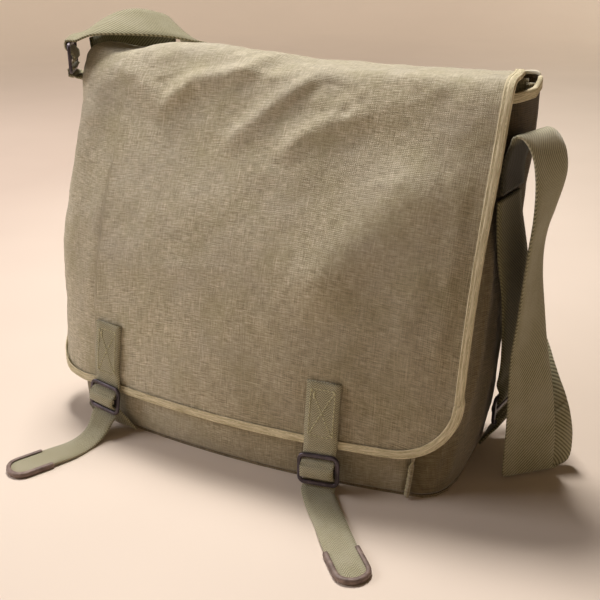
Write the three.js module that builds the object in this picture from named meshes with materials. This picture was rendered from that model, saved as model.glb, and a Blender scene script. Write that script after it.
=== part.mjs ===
// A linen haversack that stands on its base with the flap closed.
// Millimetres. X is the bag's width, the front looks to -Y, and Z is up. The origin is the
// middle of the flat base, on the surface that the bag stands on.
import * as THREE from 'three';

// Driving dimensions of the bag
const bagWidth = 350;
const bodyHeight = 290;
const baseDepth = 125;
const bodyCloth = 1.6;
const baseCloth = 2;
const seamGap = 0.3;
const frontSeamInset = 29;
const frontCorner = 40;
const backCorner = 12;
const sideSwell = 5;

// Driving dimensions of the flap and its tape
const flapCloth = 1.5;
const flapEase = 0.9;
const flapHem = 35.5;
const flapCorner = 46;
const flapLeftCorner = 74;
const hingeLap = 16;
const hingeNarrow = 10;
const crownRise = 5;
const wrapReach = 57;
const wrapLength = 84;
const tapeDepth = 6;
const tapeWall = 0.7;
const tapeGap = 0.65;

// Driving dimensions of the webs and the metal
const closingWeb = 26;
const tailWeb = 24;
const closingThick = 1.8;
const slideBar = 2.6;
const slideFace = 3.2;
const slideTall = 25;
const shoulderWeb = 44;
const shoulderThick = 2;
const loopTall = 25;
const loopMargin = 1.6;
const webGap = 0.3;
const tipDepth = 2.3;
const tipWall = 0.7;
const tipLeg = 21;
const endWeb = 22;

// Lengths of the tables' columns are shares of the named sizes above.
// Body sections: front and back are shares of baseDepth from the middle of the base, half and
// halfBack are shares of half the bag's width, and bulge is the share of baseDepth by which the
// front stands out at its middle.
const bodySections = [
  { rise: 0.00, front: -0.440, back: 0.500, half: 0.962, halfBack: 0.974, bulge: 0.10 },
  { rise: 0.13, front: -0.398, back: 0.510, half: 0.978, halfBack: 0.985, bulge: 0.16 },
  { rise: 0.28, front: -0.352, back: 0.530, half: 0.986, halfBack: 0.995, bulge: 0.17 },
  { rise: 0.44, front: -0.290, back: 0.555, half: 0.988, halfBack: 1.004, bulge: 0.15 },
  { rise: 0.60, front: -0.190, back: 0.580, half: 0.988, halfBack: 1.026, bulge: 0.12 },
  { rise: 0.76, front: -0.042, back: 0.605, half: 0.990, halfBack: 1.050, bulge: 0.08 },
  { rise: 0.90, front: 0.098, back: 0.628, half: 0.996, halfBack: 1.066, bulge: 0.04 },
  { rise: 1.00, front: 0.176, back: 0.645, half: 1.002, halfBack: 1.060, bulge: 0.02 },
];

// The mouth: how far below bodyHeight each wall's top edge stays, as shares of bodyHeight.
const mouthDrop = { front: 0.040, sideFront: 0.030, rightBack: -0.004, leftBack: 0.020, back: 0.004 };

// Folds of the cloth. across and up give the middle of a fold as shares of its sheet, long and
// wide are its size as shares of bagWidth, turn is its slope in degrees and relief its height
// as a share of baseDepth, below nought for a dent.
const flapFolds = [
  { across: 0.42, up: 0.30, long: 0.28, wide: 0.040, turn: -6, relief: 0.030 },
  { across: 0.30, up: 0.29, long: 0.16, wide: 0.035, turn: 14, relief: 0.026 },
  { across: 0.62, up: 0.33, long: 0.26, wide: 0.045, turn: 8, relief: -0.030 },
  { across: 0.50, up: 0.38, long: 0.12, wide: 0.050, turn: 22, relief: -0.022 },
  { across: 0.16, up: 0.30, long: 0.10, wide: 0.045, turn: 30, relief: 0.020 },
  { across: 0.74, up: 0.62, long: 0.34, wide: 0.060, turn: 64, relief: -0.018 },
  { across: 0.58, up: 0.66, long: 0.40, wide: 0.075, turn: 60, relief: 0.020 },
  { across: 0.34, up: 0.72, long: 0.20, wide: 0.050, turn: -4, relief: 0.014 },
  { across: 0.90, up: 0.72, long: 0.34, wide: 0.040, turn: 84, relief: 0.014 },
];
const frontFolds = [
  { across: 0.90, up: 0.07, long: 0.10, wide: 0.022, turn: 66, relief: 0.030 },
  { across: 0.80, up: 0.03, long: 0.09, wide: 0.030, turn: 12, relief: -0.040 },
  { across: 0.45, up: 0.06, long: 0.30, wide: 0.025, turn: -3, relief: 0.020 },
  { across: 0.14, up: 0.08, long: 0.12, wide: 0.030, turn: -40, relief: 0.018 },
];
const gussetFolds = [
  { across: 0.34, up: 0.30, long: 0.50, wide: 0.022, turn: 84, relief: 0.036 },
  { across: 0.52, up: 0.34, long: 0.60, wide: 0.030, turn: 92, relief: -0.040 },
  { across: 0.72, up: 0.40, long: 0.50, wide: 0.026, turn: 96, relief: 0.030 },
  { across: 0.45, up: 0.10, long: 0.20, wide: 0.035, turn: 30, relief: 0.030 },
];
const backFolds = [
  { across: 0.30, up: 0.40, long: 0.50, wide: 0.070, turn: 38, relief: -0.030 },
  { across: 0.64, up: 0.30, long: 0.36, wide: 0.060, turn: 70, relief: 0.024 },
];

// The crown of the flap from its hinge to the front roll. back is the share of the mouth's
// depth and lift is a share of crownRise above the body's height.
const crownRows = [
  { back: 1.03, lift: 0.50 },
  { back: 0.88, lift: 0.90 },
  { back: 0.62, lift: 1.30 },
  { back: 0.36, lift: 1.35 },
  { back: 0.16, lift: 1.25 },
  { back: 0.04, lift: 0.60 },
];
const frontRises = [0.955, 0.90, 0.80, 0.68, 0.55, 0.42, 0.30, 0.20];
// Lumps of the crown, by the share across the flap's cloth from its left edge.
const crownLumps = [
  { across: 0.00, lift: 0.0 },
  { across: 0.11, lift: 1.5 },
  { across: 0.16, lift: -0.1 },
  { across: 0.25, lift: 1.0 },
  { across: 0.34, lift: 1.3 },
  { across: 0.56, lift: 0.1 },
  { across: 0.75, lift: -0.4 },
  { across: 1.00, lift: -0.3 },
];

// Small helpers
const V = (x, y, z) => new THREE.Vector3(x, y, z);
const mix = (a, b, t) => a + (b - a) * t;
const clamp01 = (t) => Math.min(1, Math.max(0, t));
const smooth = (t) => clamp01(t) ** 2 * (3 - 2 * clamp01(t));

// A smooth reading of one column of a table between its rows.
function read(rows, column, key, at) {
  let k = 0;
  while (k < rows.length - 2 && at > rows[k + 1][key]) k += 1;
  const span = (n) => rows[Math.min(rows.length - 1, Math.max(0, n))];
  const t = (at - span(k)[key]) / (span(k + 1)[key] - span(k)[key]);
  const slope = (a, b) => (b[key] === a[key] ? 0 : (b[column] - a[column]) / (b[key] - a[key]));
  const width = span(k + 1)[key] - span(k)[key];
  const m0 = slope(span(k - 1), span(k + 1)) * width;
  const m1 = slope(span(k), span(k + 2)) * width;
  const t2 = t * t;
  const t3 = t2 * t;
  return (2 * t3 - 3 * t2 + 1) * span(k)[column] + (t3 - 2 * t2 + t) * m0
    + (3 * t2 - 2 * t3) * span(k + 1)[column] + (t3 - t2) * m1;
}

// The height of a sheet's folds at a place given as shares across and up.
function foldRelief(folds, across, up, sheetWide, sheetTall) {
  let sum = 0;
  for (const fold of folds) {
    const turn = THREE.MathUtils.degToRad(fold.turn);
    const dx = (across - fold.across) * sheetWide;
    const dz = (up - fold.up) * sheetTall;
    const along = (dx * Math.cos(turn) + dz * Math.sin(turn)) / (fold.long * bagWidth * 0.5);
    const beside = (dz * Math.cos(turn) - dx * Math.sin(turn)) / (fold.wide * bagWidth);
    sum += fold.relief * baseDepth * Math.exp(-along * along - beside * beside);
  }
  const calm = Math.min(1, across / 0.08, (1 - across) / 0.08);
  return sum * smooth(calm) * smooth(Math.min(1, up / 0.04, (1 - up) / 0.04));
}

// Meshes made of rings of points. The faces are turned outwards if they came out inside.
function solid(points, faces) {
  const geometry = new THREE.BufferGeometry();
  let volume = 0;
  const cross = V(0, 0, 0);
  for (const [a, b, c] of faces) {
    volume += points[a].dot(cross.crossVectors(points[b], points[c]));
  }
  const order = volume > 0 ? faces : faces.map(([a, b, c]) => [a, c, b]);
  geometry.setAttribute('position', new THREE.Float32BufferAttribute(points.flatMap((p) => [p.x, p.y, p.z]), 3));
  geometry.setIndex(order.flat());
  geometry.computeVertexNormals();
  return geometry;
}

// A sheet of cloth. place(u, v) gives the middle of the cloth for u and v from 0 to 1.
function clothSheet(place, across, along, wall) {
  const nx = across.length;
  const ny = along.length;
  const step = 0.004;
  const points = [];
  for (const side of [0.5, -0.5]) {
    for (const v of along) {
      for (const u of across) {
        const du = place(Math.min(1, u + step), v).sub(place(Math.max(0, u - step), v));
        const dv = place(u, Math.min(1, v + step)).sub(place(u, Math.max(0, v - step)));
        points.push(place(u, v).addScaledVector(du.cross(dv).normalize(), side * wall));
      }
    }
  }
  const at = (i, j, back) => back * nx * ny + j * nx + i;
  const faces = [];
  const quad = (a, b, c, d) => faces.push([a, b, c], [a, c, d]);
  for (let j = 0; j < ny - 1; j += 1) {
    for (let i = 0; i < nx - 1; i += 1) {
      quad(at(i, j, 0), at(i + 1, j, 0), at(i + 1, j + 1, 0), at(i, j + 1, 0));
      quad(at(i, j, 1), at(i, j + 1, 1), at(i + 1, j + 1, 1), at(i + 1, j, 1));
    }
    quad(at(0, j, 0), at(0, j + 1, 0), at(0, j + 1, 1), at(0, j, 1));
    quad(at(nx - 1, j, 0), at(nx - 1, j, 1), at(nx - 1, j + 1, 1), at(nx - 1, j + 1, 0));
  }
  for (let i = 0; i < nx - 1; i += 1) {
    quad(at(i, 0, 0), at(i, 0, 1), at(i + 1, 0, 1), at(i + 1, 0, 0));
    quad(at(i, ny - 1, 0), at(i + 1, ny - 1, 0), at(i + 1, ny - 1, 1), at(i, ny - 1, 1));
  }
  return solid(points, faces);
}

// A solid through rings of points with equal counts, closed at both ends by the cap's faces.
function ringSolid(rings, cap) {
  const count = rings[0].length;
  const faces = [];
  for (let k = 0; k < rings.length - 1; k += 1) {
    for (let i = 0; i < count; i += 1) {
      const n = (i + 1) % count;
      const [a, b, c, d] = [k * count + i, k * count + n, (k + 1) * count + n, (k + 1) * count + i];
      faces.push([a, b, c], [a, c, d]);
    }
  }
  const last = (rings.length - 1) * count;
  for (const [a, b, c] of cap) {
    faces.push([a, c, b], [last + a, last + b, last + c]);
  }
  return solid(rings.flat(), faces);
}

const steps = (count) => Array.from({ length: count + 1 }, (_, k) => k / count);

// A flat web. Each row has its middle and the direction of its width.
function webSolid(rows, width, thick) {
  const rings = rows.map((row, k) => {
    const before = rows[Math.max(0, k - 1)].middle;
    const after = rows[Math.min(rows.length - 1, k + 1)].middle;
    const way = after.clone().sub(before).normalize();
    const side = row.side.clone().normalize();
    const face = way.clone().cross(side).normalize().multiplyScalar(thick / 2);
    const half = side.multiplyScalar((row.width ?? width) / 2);
    return [
      row.middle.clone().add(half).add(face),
      row.middle.clone().sub(half).add(face),
      row.middle.clone().sub(half).sub(face),
      row.middle.clone().add(half).sub(face),
    ];
  });
  return ringSolid(rings, [[0, 1, 2], [0, 2, 3]]);
}

// A smooth web through the rows of a table, with count sections.
function webRows(table, count) {
  const middles = new THREE.CatmullRomCurve3(table.map((row) => row.middle), false, 'centripetal');
  const sides = new THREE.CatmullRomCurve3(table.map((row) => row.side.clone().normalize()), false, 'catmullrom');
  return steps(count).map((t) => ({ middle: middles.getPoint(t), side: sides.getPoint(t).normalize() }));
}

// An edging of tape or leather: a channel round the edge of a sheet. Each row has the edge's
// point and the channel's inner point, both on the middle of the sheet, with the sheet's face.
function edging(rows, wall, cloth) {
  const near = cloth / 2 + tapeGap;
  const far = near + wall;
  const rings = rows.map(({ outer, inner, outerFace, innerFace }) => {
    const out = outer.clone().sub(inner).normalize();
    const point = (base, face, off, push) => base.clone().addScaledVector(face, off).addScaledVector(out, push);
    return [
      point(inner, innerFace, far, 0), point(outer, outerFace, far, tapeGap + wall),
      point(outer, outerFace, -far, tapeGap + wall), point(inner, innerFace, -far, 0),
      point(inner, innerFace, -near, 0), point(outer, outerFace, -near, tapeGap),
      point(outer, outerFace, near, tapeGap), point(inner, innerFace, near, 0),
    ];
  });
  return ringSolid(rings, [[0, 1, 6], [0, 6, 7], [1, 2, 5], [1, 5, 6], [2, 3, 4], [2, 4, 5]]);
}

// The point and the face of a surface place(u, v) at one spot.
function spot(place, u, v) {
  const step = 0.003;
  const du = place(Math.min(1, u + step), v).sub(place(Math.max(0, u - step), v));
  const dv = place(u, Math.min(1, v + step)).sub(place(u, Math.max(0, v - step)));
  return { point: place(u, v), face: du.cross(dv).normalize() };
}

// One row of an edging between two spots of a surface.
function edgingRow(place, [u0, v0], [u1, v1]) {
  const outer = spot(place, u0, v0);
  const inner = spot(place, u1, v1);
  return { outer: outer.point, outerFace: outer.face, inner: inner.point, innerFace: inner.face };
}

// Body walls. A wall's place takes the share u along the wall and v up it.
const section = (column, rise) => read(bodySections, column, 'rise', rise);
const frontLine = (rise) => section('front', rise) * baseDepth;
const backLine = (rise) => section('back', rise) * baseDepth;
const halfWidth = (column, rise) => section(column, rise) * bagWidth / 2;
const wallBottom = baseCloth + seamGap;
const wallRise = (z) => (z - wallBottom) / (bodyHeight - wallBottom);
const topOf = (drop) => bodyHeight * (1 - drop);

// How far the front stands out at x, less towards both sides.
function frontBulge(x, rise) {
  const share = x / (bagWidth / 2);
  return section('bulge', rise) * baseDepth * Math.max(0, 1 - share * share);
}

function frontPlace(u, v) {
  const z = mix(wallBottom, topOf(mouthDrop.front), v);
  const rise = wallRise(z);
  const edge = halfWidth('half', rise) - frontSeamInset;
  const x = mix(-edge, edge, u);
  const bulge = section('bulge', rise) * baseDepth * (1 - (x / edge) ** 2);
  const relief = foldRelief(frontFolds, u, v, bagWidth * 0.78, bodyHeight) * smooth((0.2 - v) / 0.06);
  return V(x, frontLine(rise) - bulge - relief, z);
}

// A gusset runs from the front seam round the front corner, back along the side and round the
// back corner to the back seam.
const sideStart = 0.36;
const sideEnd = 0.84;
function gussetPlace(side, folds, backDrop) {
  const bend = (a, b, c, t) => a.clone().multiplyScalar((1 - t) ** 2)
    .addScaledVector(b, 2 * t * (1 - t)).addScaledVector(c, t * t);
  return (u, v) => {
    const z = mix(wallBottom, topOf(mix(mouthDrop.sideFront, backDrop, u)), v);
    const rise = wallRise(z);
    const front = V(side * halfWidth('half', rise), frontLine(rise), z);
    const back = V(side * halfWidth('halfBack', rise), backLine(rise), z);
    const way = back.clone().sub(front).normalize();
    const start = front.clone().addScaledVector(way, frontCorner);
    const end = back.clone().addScaledVector(way, -backCorner);
    if (u < sideStart) {
      const seam = V(side * (halfWidth('half', rise) - frontSeamInset), frontLine(rise), z);
      return bend(seam, front, start, u / sideStart);
    }
    if (u > sideEnd) {
      const seam = V(side * (halfWidth('halfBack', rise) - backCorner), backLine(rise), z);
      return bend(end, back, seam, (u - sideEnd) / (1 - sideEnd));
    }
    const t = (u - sideStart) / (sideEnd - sideStart);
    const outward = V(side * way.y, -side * way.x, 0);
    const swell = sideSwell * 4 * t * (1 - t) * smooth((1 - v) * 2.2) * smooth(v * 6)
      + foldRelief(folds, t, v, baseDepth * 0.7, bodyHeight);
    return start.clone().lerp(end, t).addScaledVector(outward, swell * smooth(Math.min(t, 1 - t) * 8));
  };
}

function backPlace(u, v) {
  const z = mix(wallBottom, topOf(mouthDrop.back), v);
  const rise = wallRise(z);
  const edge = halfWidth('halfBack', rise) - backCorner;
  return V(mix(edge, -edge, u), backLine(rise) + foldRelief(backFolds, u, v, bagWidth, bodyHeight), z);
}

const rightGusset = gussetPlace(1, gussetFolds, mouthDrop.rightBack);
const leftGusset = gussetPlace(-1, [], mouthDrop.leftBack);

// A point that lies off a gusset's outside at a depth y and a height z.
function onGusset(place, side, y, z, off) {
  let low = sideStart * 0.6;
  let high = 1;
  const v = (z - wallBottom) / (bodyHeight - wallBottom);
  for (let k = 0; k < 24; k += 1) {
    const middle = (low + high) / 2;
    if (place(middle, v).y < y) low = middle;
    else high = middle;
  }
  const { point, face } = spot(place, low, v);
  if (face.x * side < 0) face.negate();
  return point.setZ(z).addScaledVector(face.setZ(0).normalize(), off);
}

// Neighbouring walls share a seam line and stop half the seam gap short of it.
const seamShare = (length) => seamGap / 2 / length;
const between = (count, margin) => steps(count).map((t) => mix(margin, 1 - margin, t));
const wallRows = [0, 0.03, 0.08, 0.15, 0.24, 0.34, 0.45, 0.56, 0.67, 0.78, 0.89, 1];
const frontColumns = between(14, seamShare(bagWidth * 0.78));
const backColumns = between(10, seamShare(bagWidth * 0.86));
const gussetMargin = seamShare(baseDepth);
const gussetColumns = [0, 0.09, 0.18, 0.27, 0.36, 0.44, 0.52, 0.60, 0.68, 0.76, 0.84, 0.92, 1]
  .map((t) => Math.min(1 - gussetMargin, Math.max(gussetMargin, t)));

// The base: the outline of the walls' foot, filled in.
function baseGeometry() {
  const foot = [];
  const ring = (place, list) => {
    for (const u of list) foot.push(place(u, 0));
  };
  ring(frontPlace, steps(12).slice(0, -1));
  ring(rightGusset, steps(12).slice(0, -1));
  ring(backPlace, steps(4).slice(0, -1));
  ring(leftGusset, steps(12).reverse().slice(0, -1));
  const shape = new THREE.Shape(foot.map((p) => new THREE.Vector2(p.x, p.y)));
  return new THREE.ExtrudeGeometry(shape, { depth: baseCloth, bevelEnabled: false });
}

// The cloth of the flap is measured across from its left edge. It wraps back round the left
// side of the bag for wrapLength and is flat from there to its right edge.
const wrapStart = -0.39 * bagWidth;
const flapRight = bagWidth / 2;
const flapSpan = wrapLength + flapRight - wrapStart;
const frontX = (s) => wrapStart + Math.max(0, s - wrapLength);
const acrossOf = (x) => x / bagWidth + 0.5;

// The flap's profile at the measure s across: from the hinge on the back wall, over the crown
// and down the front.
const seat = bodyCloth / 2 + flapEase + flapCloth / 2;
const frontTopY = frontLine(1);
const hingeY = backLine(1) + seat + 1.5 * flapEase;
const roofZ = bodyHeight + flapEase + flapCloth / 2;
const crownSpan = backLine(1) - frontTopY;

function flapProfile(s) {
  const x = frontX(s);
  const lump = read(crownLumps, 'lift', 'across', s / flapSpan);
  const points = [V(0, hingeY, bodyHeight - hingeLap), V(0, hingeY, bodyHeight - hingeLap / 3)];
  for (const row of crownRows) {
    const hump = smooth((1 - row.back) * 5) * smooth(row.back * 5);
    points.push(V(0, frontTopY + row.back * crownSpan, roofZ + crownRise * (row.lift - 0.4 + lump * hump)));
  }
  const ease = seat + flapEase;
  for (const rise of frontRises) {
    points.push(V(0, frontLine(rise) - frontBulge(x, rise) - ease, rise * bodyHeight));
  }
  const bottom = flapHem / bodyHeight;
  points.push(V(0, frontLine(bottom) - frontBulge(x, bottom) - ease, flapHem));
  return new THREE.CatmullRomCurve3(points, false, 'centripetal');
}

const profileCache = new Map();
function profileAt(s) {
  const key = s.toFixed(3);
  if (!profileCache.has(key)) profileCache.set(key, flapProfile(s));
  return profileCache.get(key);
}

// The share of a profile where the front comes down to a height.
function shareAtHeight(s, height) {
  let low = 0.6;
  let high = 1;
  for (let k = 0; k < 24; k += 1) {
    const middle = (low + high) / 2;
    if (profileAt(s).getPoint(middle).z > height) low = middle;
    else high = middle;
  }
  return (low + high) / 2;
}

// How far the left edge stands back behind the front, as a share of wrapReach, and how sharp
// its bend is, at shares of the way from the hinge to the lower edge.
const wrapRows = [
  { along: 0.00, depth: 0.00, bend: 2.0 },
  { along: 0.12, depth: 0.00, bend: 3.0 },
  { along: 0.20, depth: 0.22, bend: 3.5 },
  { along: 0.36, depth: 0.26, bend: 3.5 },
  { along: 0.43, depth: 0.30, bend: 3.0 },
  { along: 0.50, depth: 0.44, bend: 2.6 },
  { along: 0.62, depth: 0.90, bend: 2.1 },
  { along: 1.00, depth: 1.05, bend: 2.0 },
];

function cornerCut(s) {
  const radius = s < flapSpan / 2 ? flapLeftCorner : flapCorner;
  const near = Math.max(0, Math.min(s, flapSpan - s));
  return near < radius ? radius - Math.sqrt(radius ** 2 - (radius - near) ** 2) : 0;
}

// Down to evenShare all the cloth's rows are level. Below it they draw together towards the
// rounded corners.
const evenShare = 0.6;
const lastShare = (s) => (cornerCut(s) > 0 ? shareAtHeight(s, flapHem + cornerCut(s)) : 1);

function flapPlace(u, v) {
  const s = u * flapSpan;
  const inHinge = 1 - smooth(v / 0.35);
  const x = frontX(s) - inHinge * hingeNarrow * smooth(acrossOf(frontX(s)));
  const profile = profileAt(s);
  const share = v < evenShare ? v : mix(evenShare, lastShare(s), (v - evenShare) / (1 - evenShare));
  const point = profile.getPoint(share);
  point.x = x;
  const way = profile.getTangent(share);
  const face = V(0, way.z, -way.y);
  const relief = foldRelief(flapFolds, acrossOf(x), share, bagWidth, bodyHeight * 1.35);
  point.addScaledVector(face, Math.max(relief, -flapEase));
  if (s >= wrapLength) return point;
  const wrapped = 1 - s / wrapLength;
  const depth = read(wrapRows, 'depth', 'along', share) * wrapReach;
  const bend = read(wrapRows, 'bend', 'along', share);
  point.x = x - wrapReach * (1 - (1 - wrapped) ** 2);
  return point.addScaledVector(face, -depth * wrapped ** bend);
}

// The share down the flap, at the measure s across, that lies at a height z on the front.
function downTo(s, z) {
  const share = shareAtHeight(s, z);
  return share < evenShare ? share : mix(evenShare, 1, (share - evenShare) / (lastShare(s) - evenShare));
}

const arcSteps = [0, 0.17, 0.34, 0.5, 0.66, 0.83, 1].map((t) => t * Math.PI / 2);
const cornerColumns = (radius) => arcSteps.map((angle) => radius * (1 - Math.cos(angle)));
const flapMeasures = [
  ...cornerColumns(flapLeftCorner),
  tapeDepth,
  wrapLength,
  ...steps(14).slice(1, -1).map((t) => mix(wrapLength, flapSpan - flapCorner, t)),
  ...cornerColumns(flapCorner).map((c) => flapSpan - c),
  flapSpan - tapeDepth,
].sort((a, b) => a - b);
const flapColumns = flapMeasures.map((s) => s / flapSpan);
const flapRows = [0, 0.05, 0.10, 0.14, 0.18, 0.23, 0.28, 0.33, 0.37, 0.41, 0.45, 0.49, 0.53, 0.57, 0.61, 0.66, 0.71,
  0.76, 0.81, 0.86, 0.91, 0.955, 0.987, 1];

// The tape follows the flap's left edge from tapeStart down, its lower edge and its right edge.
const tapeStart = 0.42;
function flapTapeRows() {
  const inset = tapeDepth / flapSpan;
  const sideRows = flapRows.slice(2, -1);
  const rows = sideRows.filter((v) => v > tapeStart).map((v) => edgingRow(flapPlace, [0, v], [inset, v]));
  const corner = (angle, mirror) => {
    const radius = mirror ? flapCorner : flapLeftCorner;
    const inner = radius - tapeDepth;
    const s = radius - inner * Math.cos(angle);
    const z = flapHem + radius - inner * Math.sin(angle);
    const edge = radius * (1 - Math.cos(angle));
    const [s0, s1] = mirror ? [flapSpan - edge, flapSpan - s] : [edge, s];
    return edgingRow(flapPlace, [s0 / flapSpan, 1], [s1 / flapSpan, downTo(s1, z)]);
  };
  for (const angle of arcSteps) rows.push(corner(angle, false));
  for (const s of flapMeasures.filter((m) => m > flapLeftCorner && m < flapSpan - flapCorner)) {
    rows.push(edgingRow(flapPlace, [s / flapSpan, 1], [s / flapSpan, downTo(s, flapHem + tapeDepth)]));
  }
  for (const angle of [...arcSteps].reverse()) rows.push(corner(angle, true));
  for (const v of [...sideRows].reverse()) rows.push(edgingRow(flapPlace, [1, v], [1 - inset, v]));
  return rows;
}

// The cream tape on the gussets' top edges.
function mouthTapeRows(place) {
  const low = 1 - tapeDepth / bodyHeight;
  return gussetColumns.slice(1, -1).map((u) => edgingRow(place, [u, 1], [u, low]));
}

// The pinched seam that stands out along each lower front corner.
const pinchTall = 0.13;
const pinchOut = 5;
const pinchThick = 3;
function cornerSeam(side) {
  const rows = steps(6).map((t) => {
    const v = t * pinchTall;
    const seam = frontPlace(side > 0 ? 1 : 0, v);
    const way = V(side * 0.5, -1, 0).normalize();
    const out = bodyCloth / 2 + webGap + 0.9 + pinchOut * (1 - 0.5 * t) / 2;
    return { middle: seam.addScaledVector(way, out), side: way, width: pinchOut * (1 - 0.5 * t) };
  });
  return webSolid(rows, pinchOut, pinchThick);
}

// The closing straps. Each is sewn on the flap, passes behind the slide's top bar, over its
// middle bar and behind its lower bar, and ends in a free tail on the floor. A tail's rows are
// millimetres from the slide's middle: across, outwards, and the height above the floor.
const closings = [
  {
    name: 'right', x: 0.22 * bagWidth, tabTop: 86, slideHeight: 18, lean: 8, roll: 3, turn: 40, foot: 0,
    tail: [
      { across: 1.5, out: 4, up: 1.7 }, { across: 6, out: 10, up: 1.4 }, { across: 14, out: 21, up: 1.3 },
      { across: 24, out: 33, up: 1.3 }, { across: 36, out: 49, up: 2.3 }, { across: 50, out: 66, up: 2.3 },
      { across: 58, out: 75, up: 2.3 },
    ],
  },
  {
    name: 'left', x: -0.34 * bagWidth, tabTop: 92, slideHeight: 30, lean: 7, roll: -4, turn: -24, foot: 13,
    tail: [
      { across: -0.5, out: 5, up: 13 }, { across: -1, out: 13, up: 5.5 }, { across: -1.5, out: 26, up: 1.6 },
      { across: -4, out: 42, up: 1.5 }, { across: -11, out: 58, up: 2.3 }, { across: -16.5, out: 69, up: 2.3 },
      { across: -22, out: 80, up: 2.3 },
    ],
  },
];
const barDrop = slideTall / 2 - slideFace / 2;
const chapeOut = slideBar / 2 + webGap + closingThick;

// The frame of a slide: its middle, its width, its face outwards and its upward direction.
function slideFrame({ x, slideHeight, lean, roll }) {
  const rise = slideHeight / bodyHeight;
  const flapY = frontLine(rise) - frontBulge(x, rise) - seat - flapEase;
  const slope = frontBulge(x + 1, rise) - frontBulge(x - 1, rise);
  const turn = Math.atan2(-slope, 2);
  const across = V(Math.cos(turn), Math.sin(turn), 0);
  const outward = V(Math.sin(turn), -Math.cos(turn), 0);
  const tilt = THREE.MathUtils.degToRad(lean);
  const up = V(0, 0, Math.cos(tilt)).addScaledVector(outward, -Math.sin(tilt));
  const face = outward.clone().multiplyScalar(Math.cos(tilt)).add(V(0, 0, Math.sin(tilt)));
  const spin = THREE.MathUtils.degToRad(roll);
  const standOff = flapCloth / 2 + tapeGap + tapeWall + webGap + slideBar / 2 + webGap + closingThick + 2.4;
  return {
    middle: V(x, flapY, slideHeight).addScaledVector(outward, standOff),
    across: across.clone().applyAxisAngle(face, spin),
    up: up.clone().applyAxisAngle(face, spin),
    face,
    outward,
    flat: across,
  };
}

function slideGeometry(wide, tall, bar, face) {
  const rounded = (path, w, h, r, parts) => {
    const corners = [[1, -1, -90], [1, 1, 0], [-1, 1, 90], [-1, -1, 180]];
    const points = corners.flatMap(([sx, sy, from]) => steps(parts).map((t) => {
      const angle = THREE.MathUtils.degToRad(from + 90 * t);
      return new THREE.Vector2(sx * (w / 2 - r) + r * Math.cos(angle), sy * (h / 2 - r) + r * Math.sin(angle));
    }));
    return path.setFromPoints(points);
  };
  const soft = 0.6;
  const shape = rounded(new THREE.Shape(), wide - 2 * soft, tall - 2 * soft, face * 1.6, 4);
  const windowTall = (tall - 3 * face) / 2;
  for (const side of [1, -1]) {
    const hole = rounded(new THREE.Path(), wide - 2 * face + 2 * soft, windowTall + 2 * soft, 2.4, 3);
    const moved = hole.getPoints().map((p) => new THREE.Vector2(p.x, p.y + side * (windowTall + face) / 2));
    shape.holes.push(new THREE.Path(moved));
  }
  const depth = bar - 2 * soft;
  const options = { depth, bevelEnabled: true, bevelThickness: soft, bevelSize: soft, bevelSegments: 1 };
  return new THREE.ExtrudeGeometry(shape, options).translate(0, 0, -depth / 2);
}

function framed(geometry, frame) {
  return geometry.applyMatrix4(new THREE.Matrix4().makeBasis(frame.across, frame.up, frame.face)
    .setPosition(frame.middle));
}

const closingSlideWide = closingWeb + 2 * (webGap + slideFace);
const local = (frame, out, up) => frame.middle.clone().addScaledVector(frame.face, out).addScaledVector(frame.up, up);

function closingRows(closing) {
  const frame = slideFrame(closing);
  const behind = slideBar / 2 + webGap + closingThick / 2;
  const over = chapeOut + webGap + closingThick / 2;
  const rows = [];
  const lowSewn = frame.middle.z + slideTall * 0.82;
  const across = closing.x - wrapStart + wrapLength;
  for (const t of steps(5)) {
    const { point, face } = spot(flapPlace, across / flapSpan, downTo(across, mix(closing.tabTop, lowSewn, t)));
    if (face.y > 0) face.negate();
    const lift = flapCloth / 2 + webGap + closingThick / 2 + (tapeGap + tapeWall) * smooth((t - 0.3) * 2.2);
    rows.push({ middle: point.addScaledVector(face, lift), side: frame.flat });
  }
  const weave = [[-behind, 0.98], [-behind, 0.72], [over * 0.5, 0.5], [over, 0.35], [over, 0], [over, -0.35],
    [over * 0.5, -0.5], [-behind, -0.72],
    [-behind, -1.22]];
  for (const [out, share] of weave) rows.push({ middle: local(frame, out, share * barDrop), side: frame.across });
  const turned = frame.flat.clone().applyAxisAngle(V(0, 0, 1), THREE.MathUtils.degToRad(closing.turn));
  closing.tail.forEach((row, k) => {
    const middle = V(frame.middle.x + row.across, frame.middle.y - row.out, row.up);
    const side = frame.flat.clone().lerp(turned, smooth((k + 1) / 4)).normalize();
    rows.push({ middle, side, width: mix(closingWeb, tailWeb, smooth((k + 1) / 4)) });
  });
  const end = rows[rows.length - 1];
  const way = end.middle.clone().sub(rows[rows.length - 2].middle).setZ(0).normalize();
  const side = V(-way.y, way.x, 0);
  end.side = side;
  rows[rows.length - 2].side = side;
  for (const angle of [0.5, 0.95, 1.3]) {
    rows.push({
      middle: end.middle.clone().addScaledVector(way, Math.sin(angle) * tailWeb * 0.42),
      side,
      width: tailWeb * Math.cos(angle),
      round: true,
    });
  }
  return rows;
}

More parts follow.
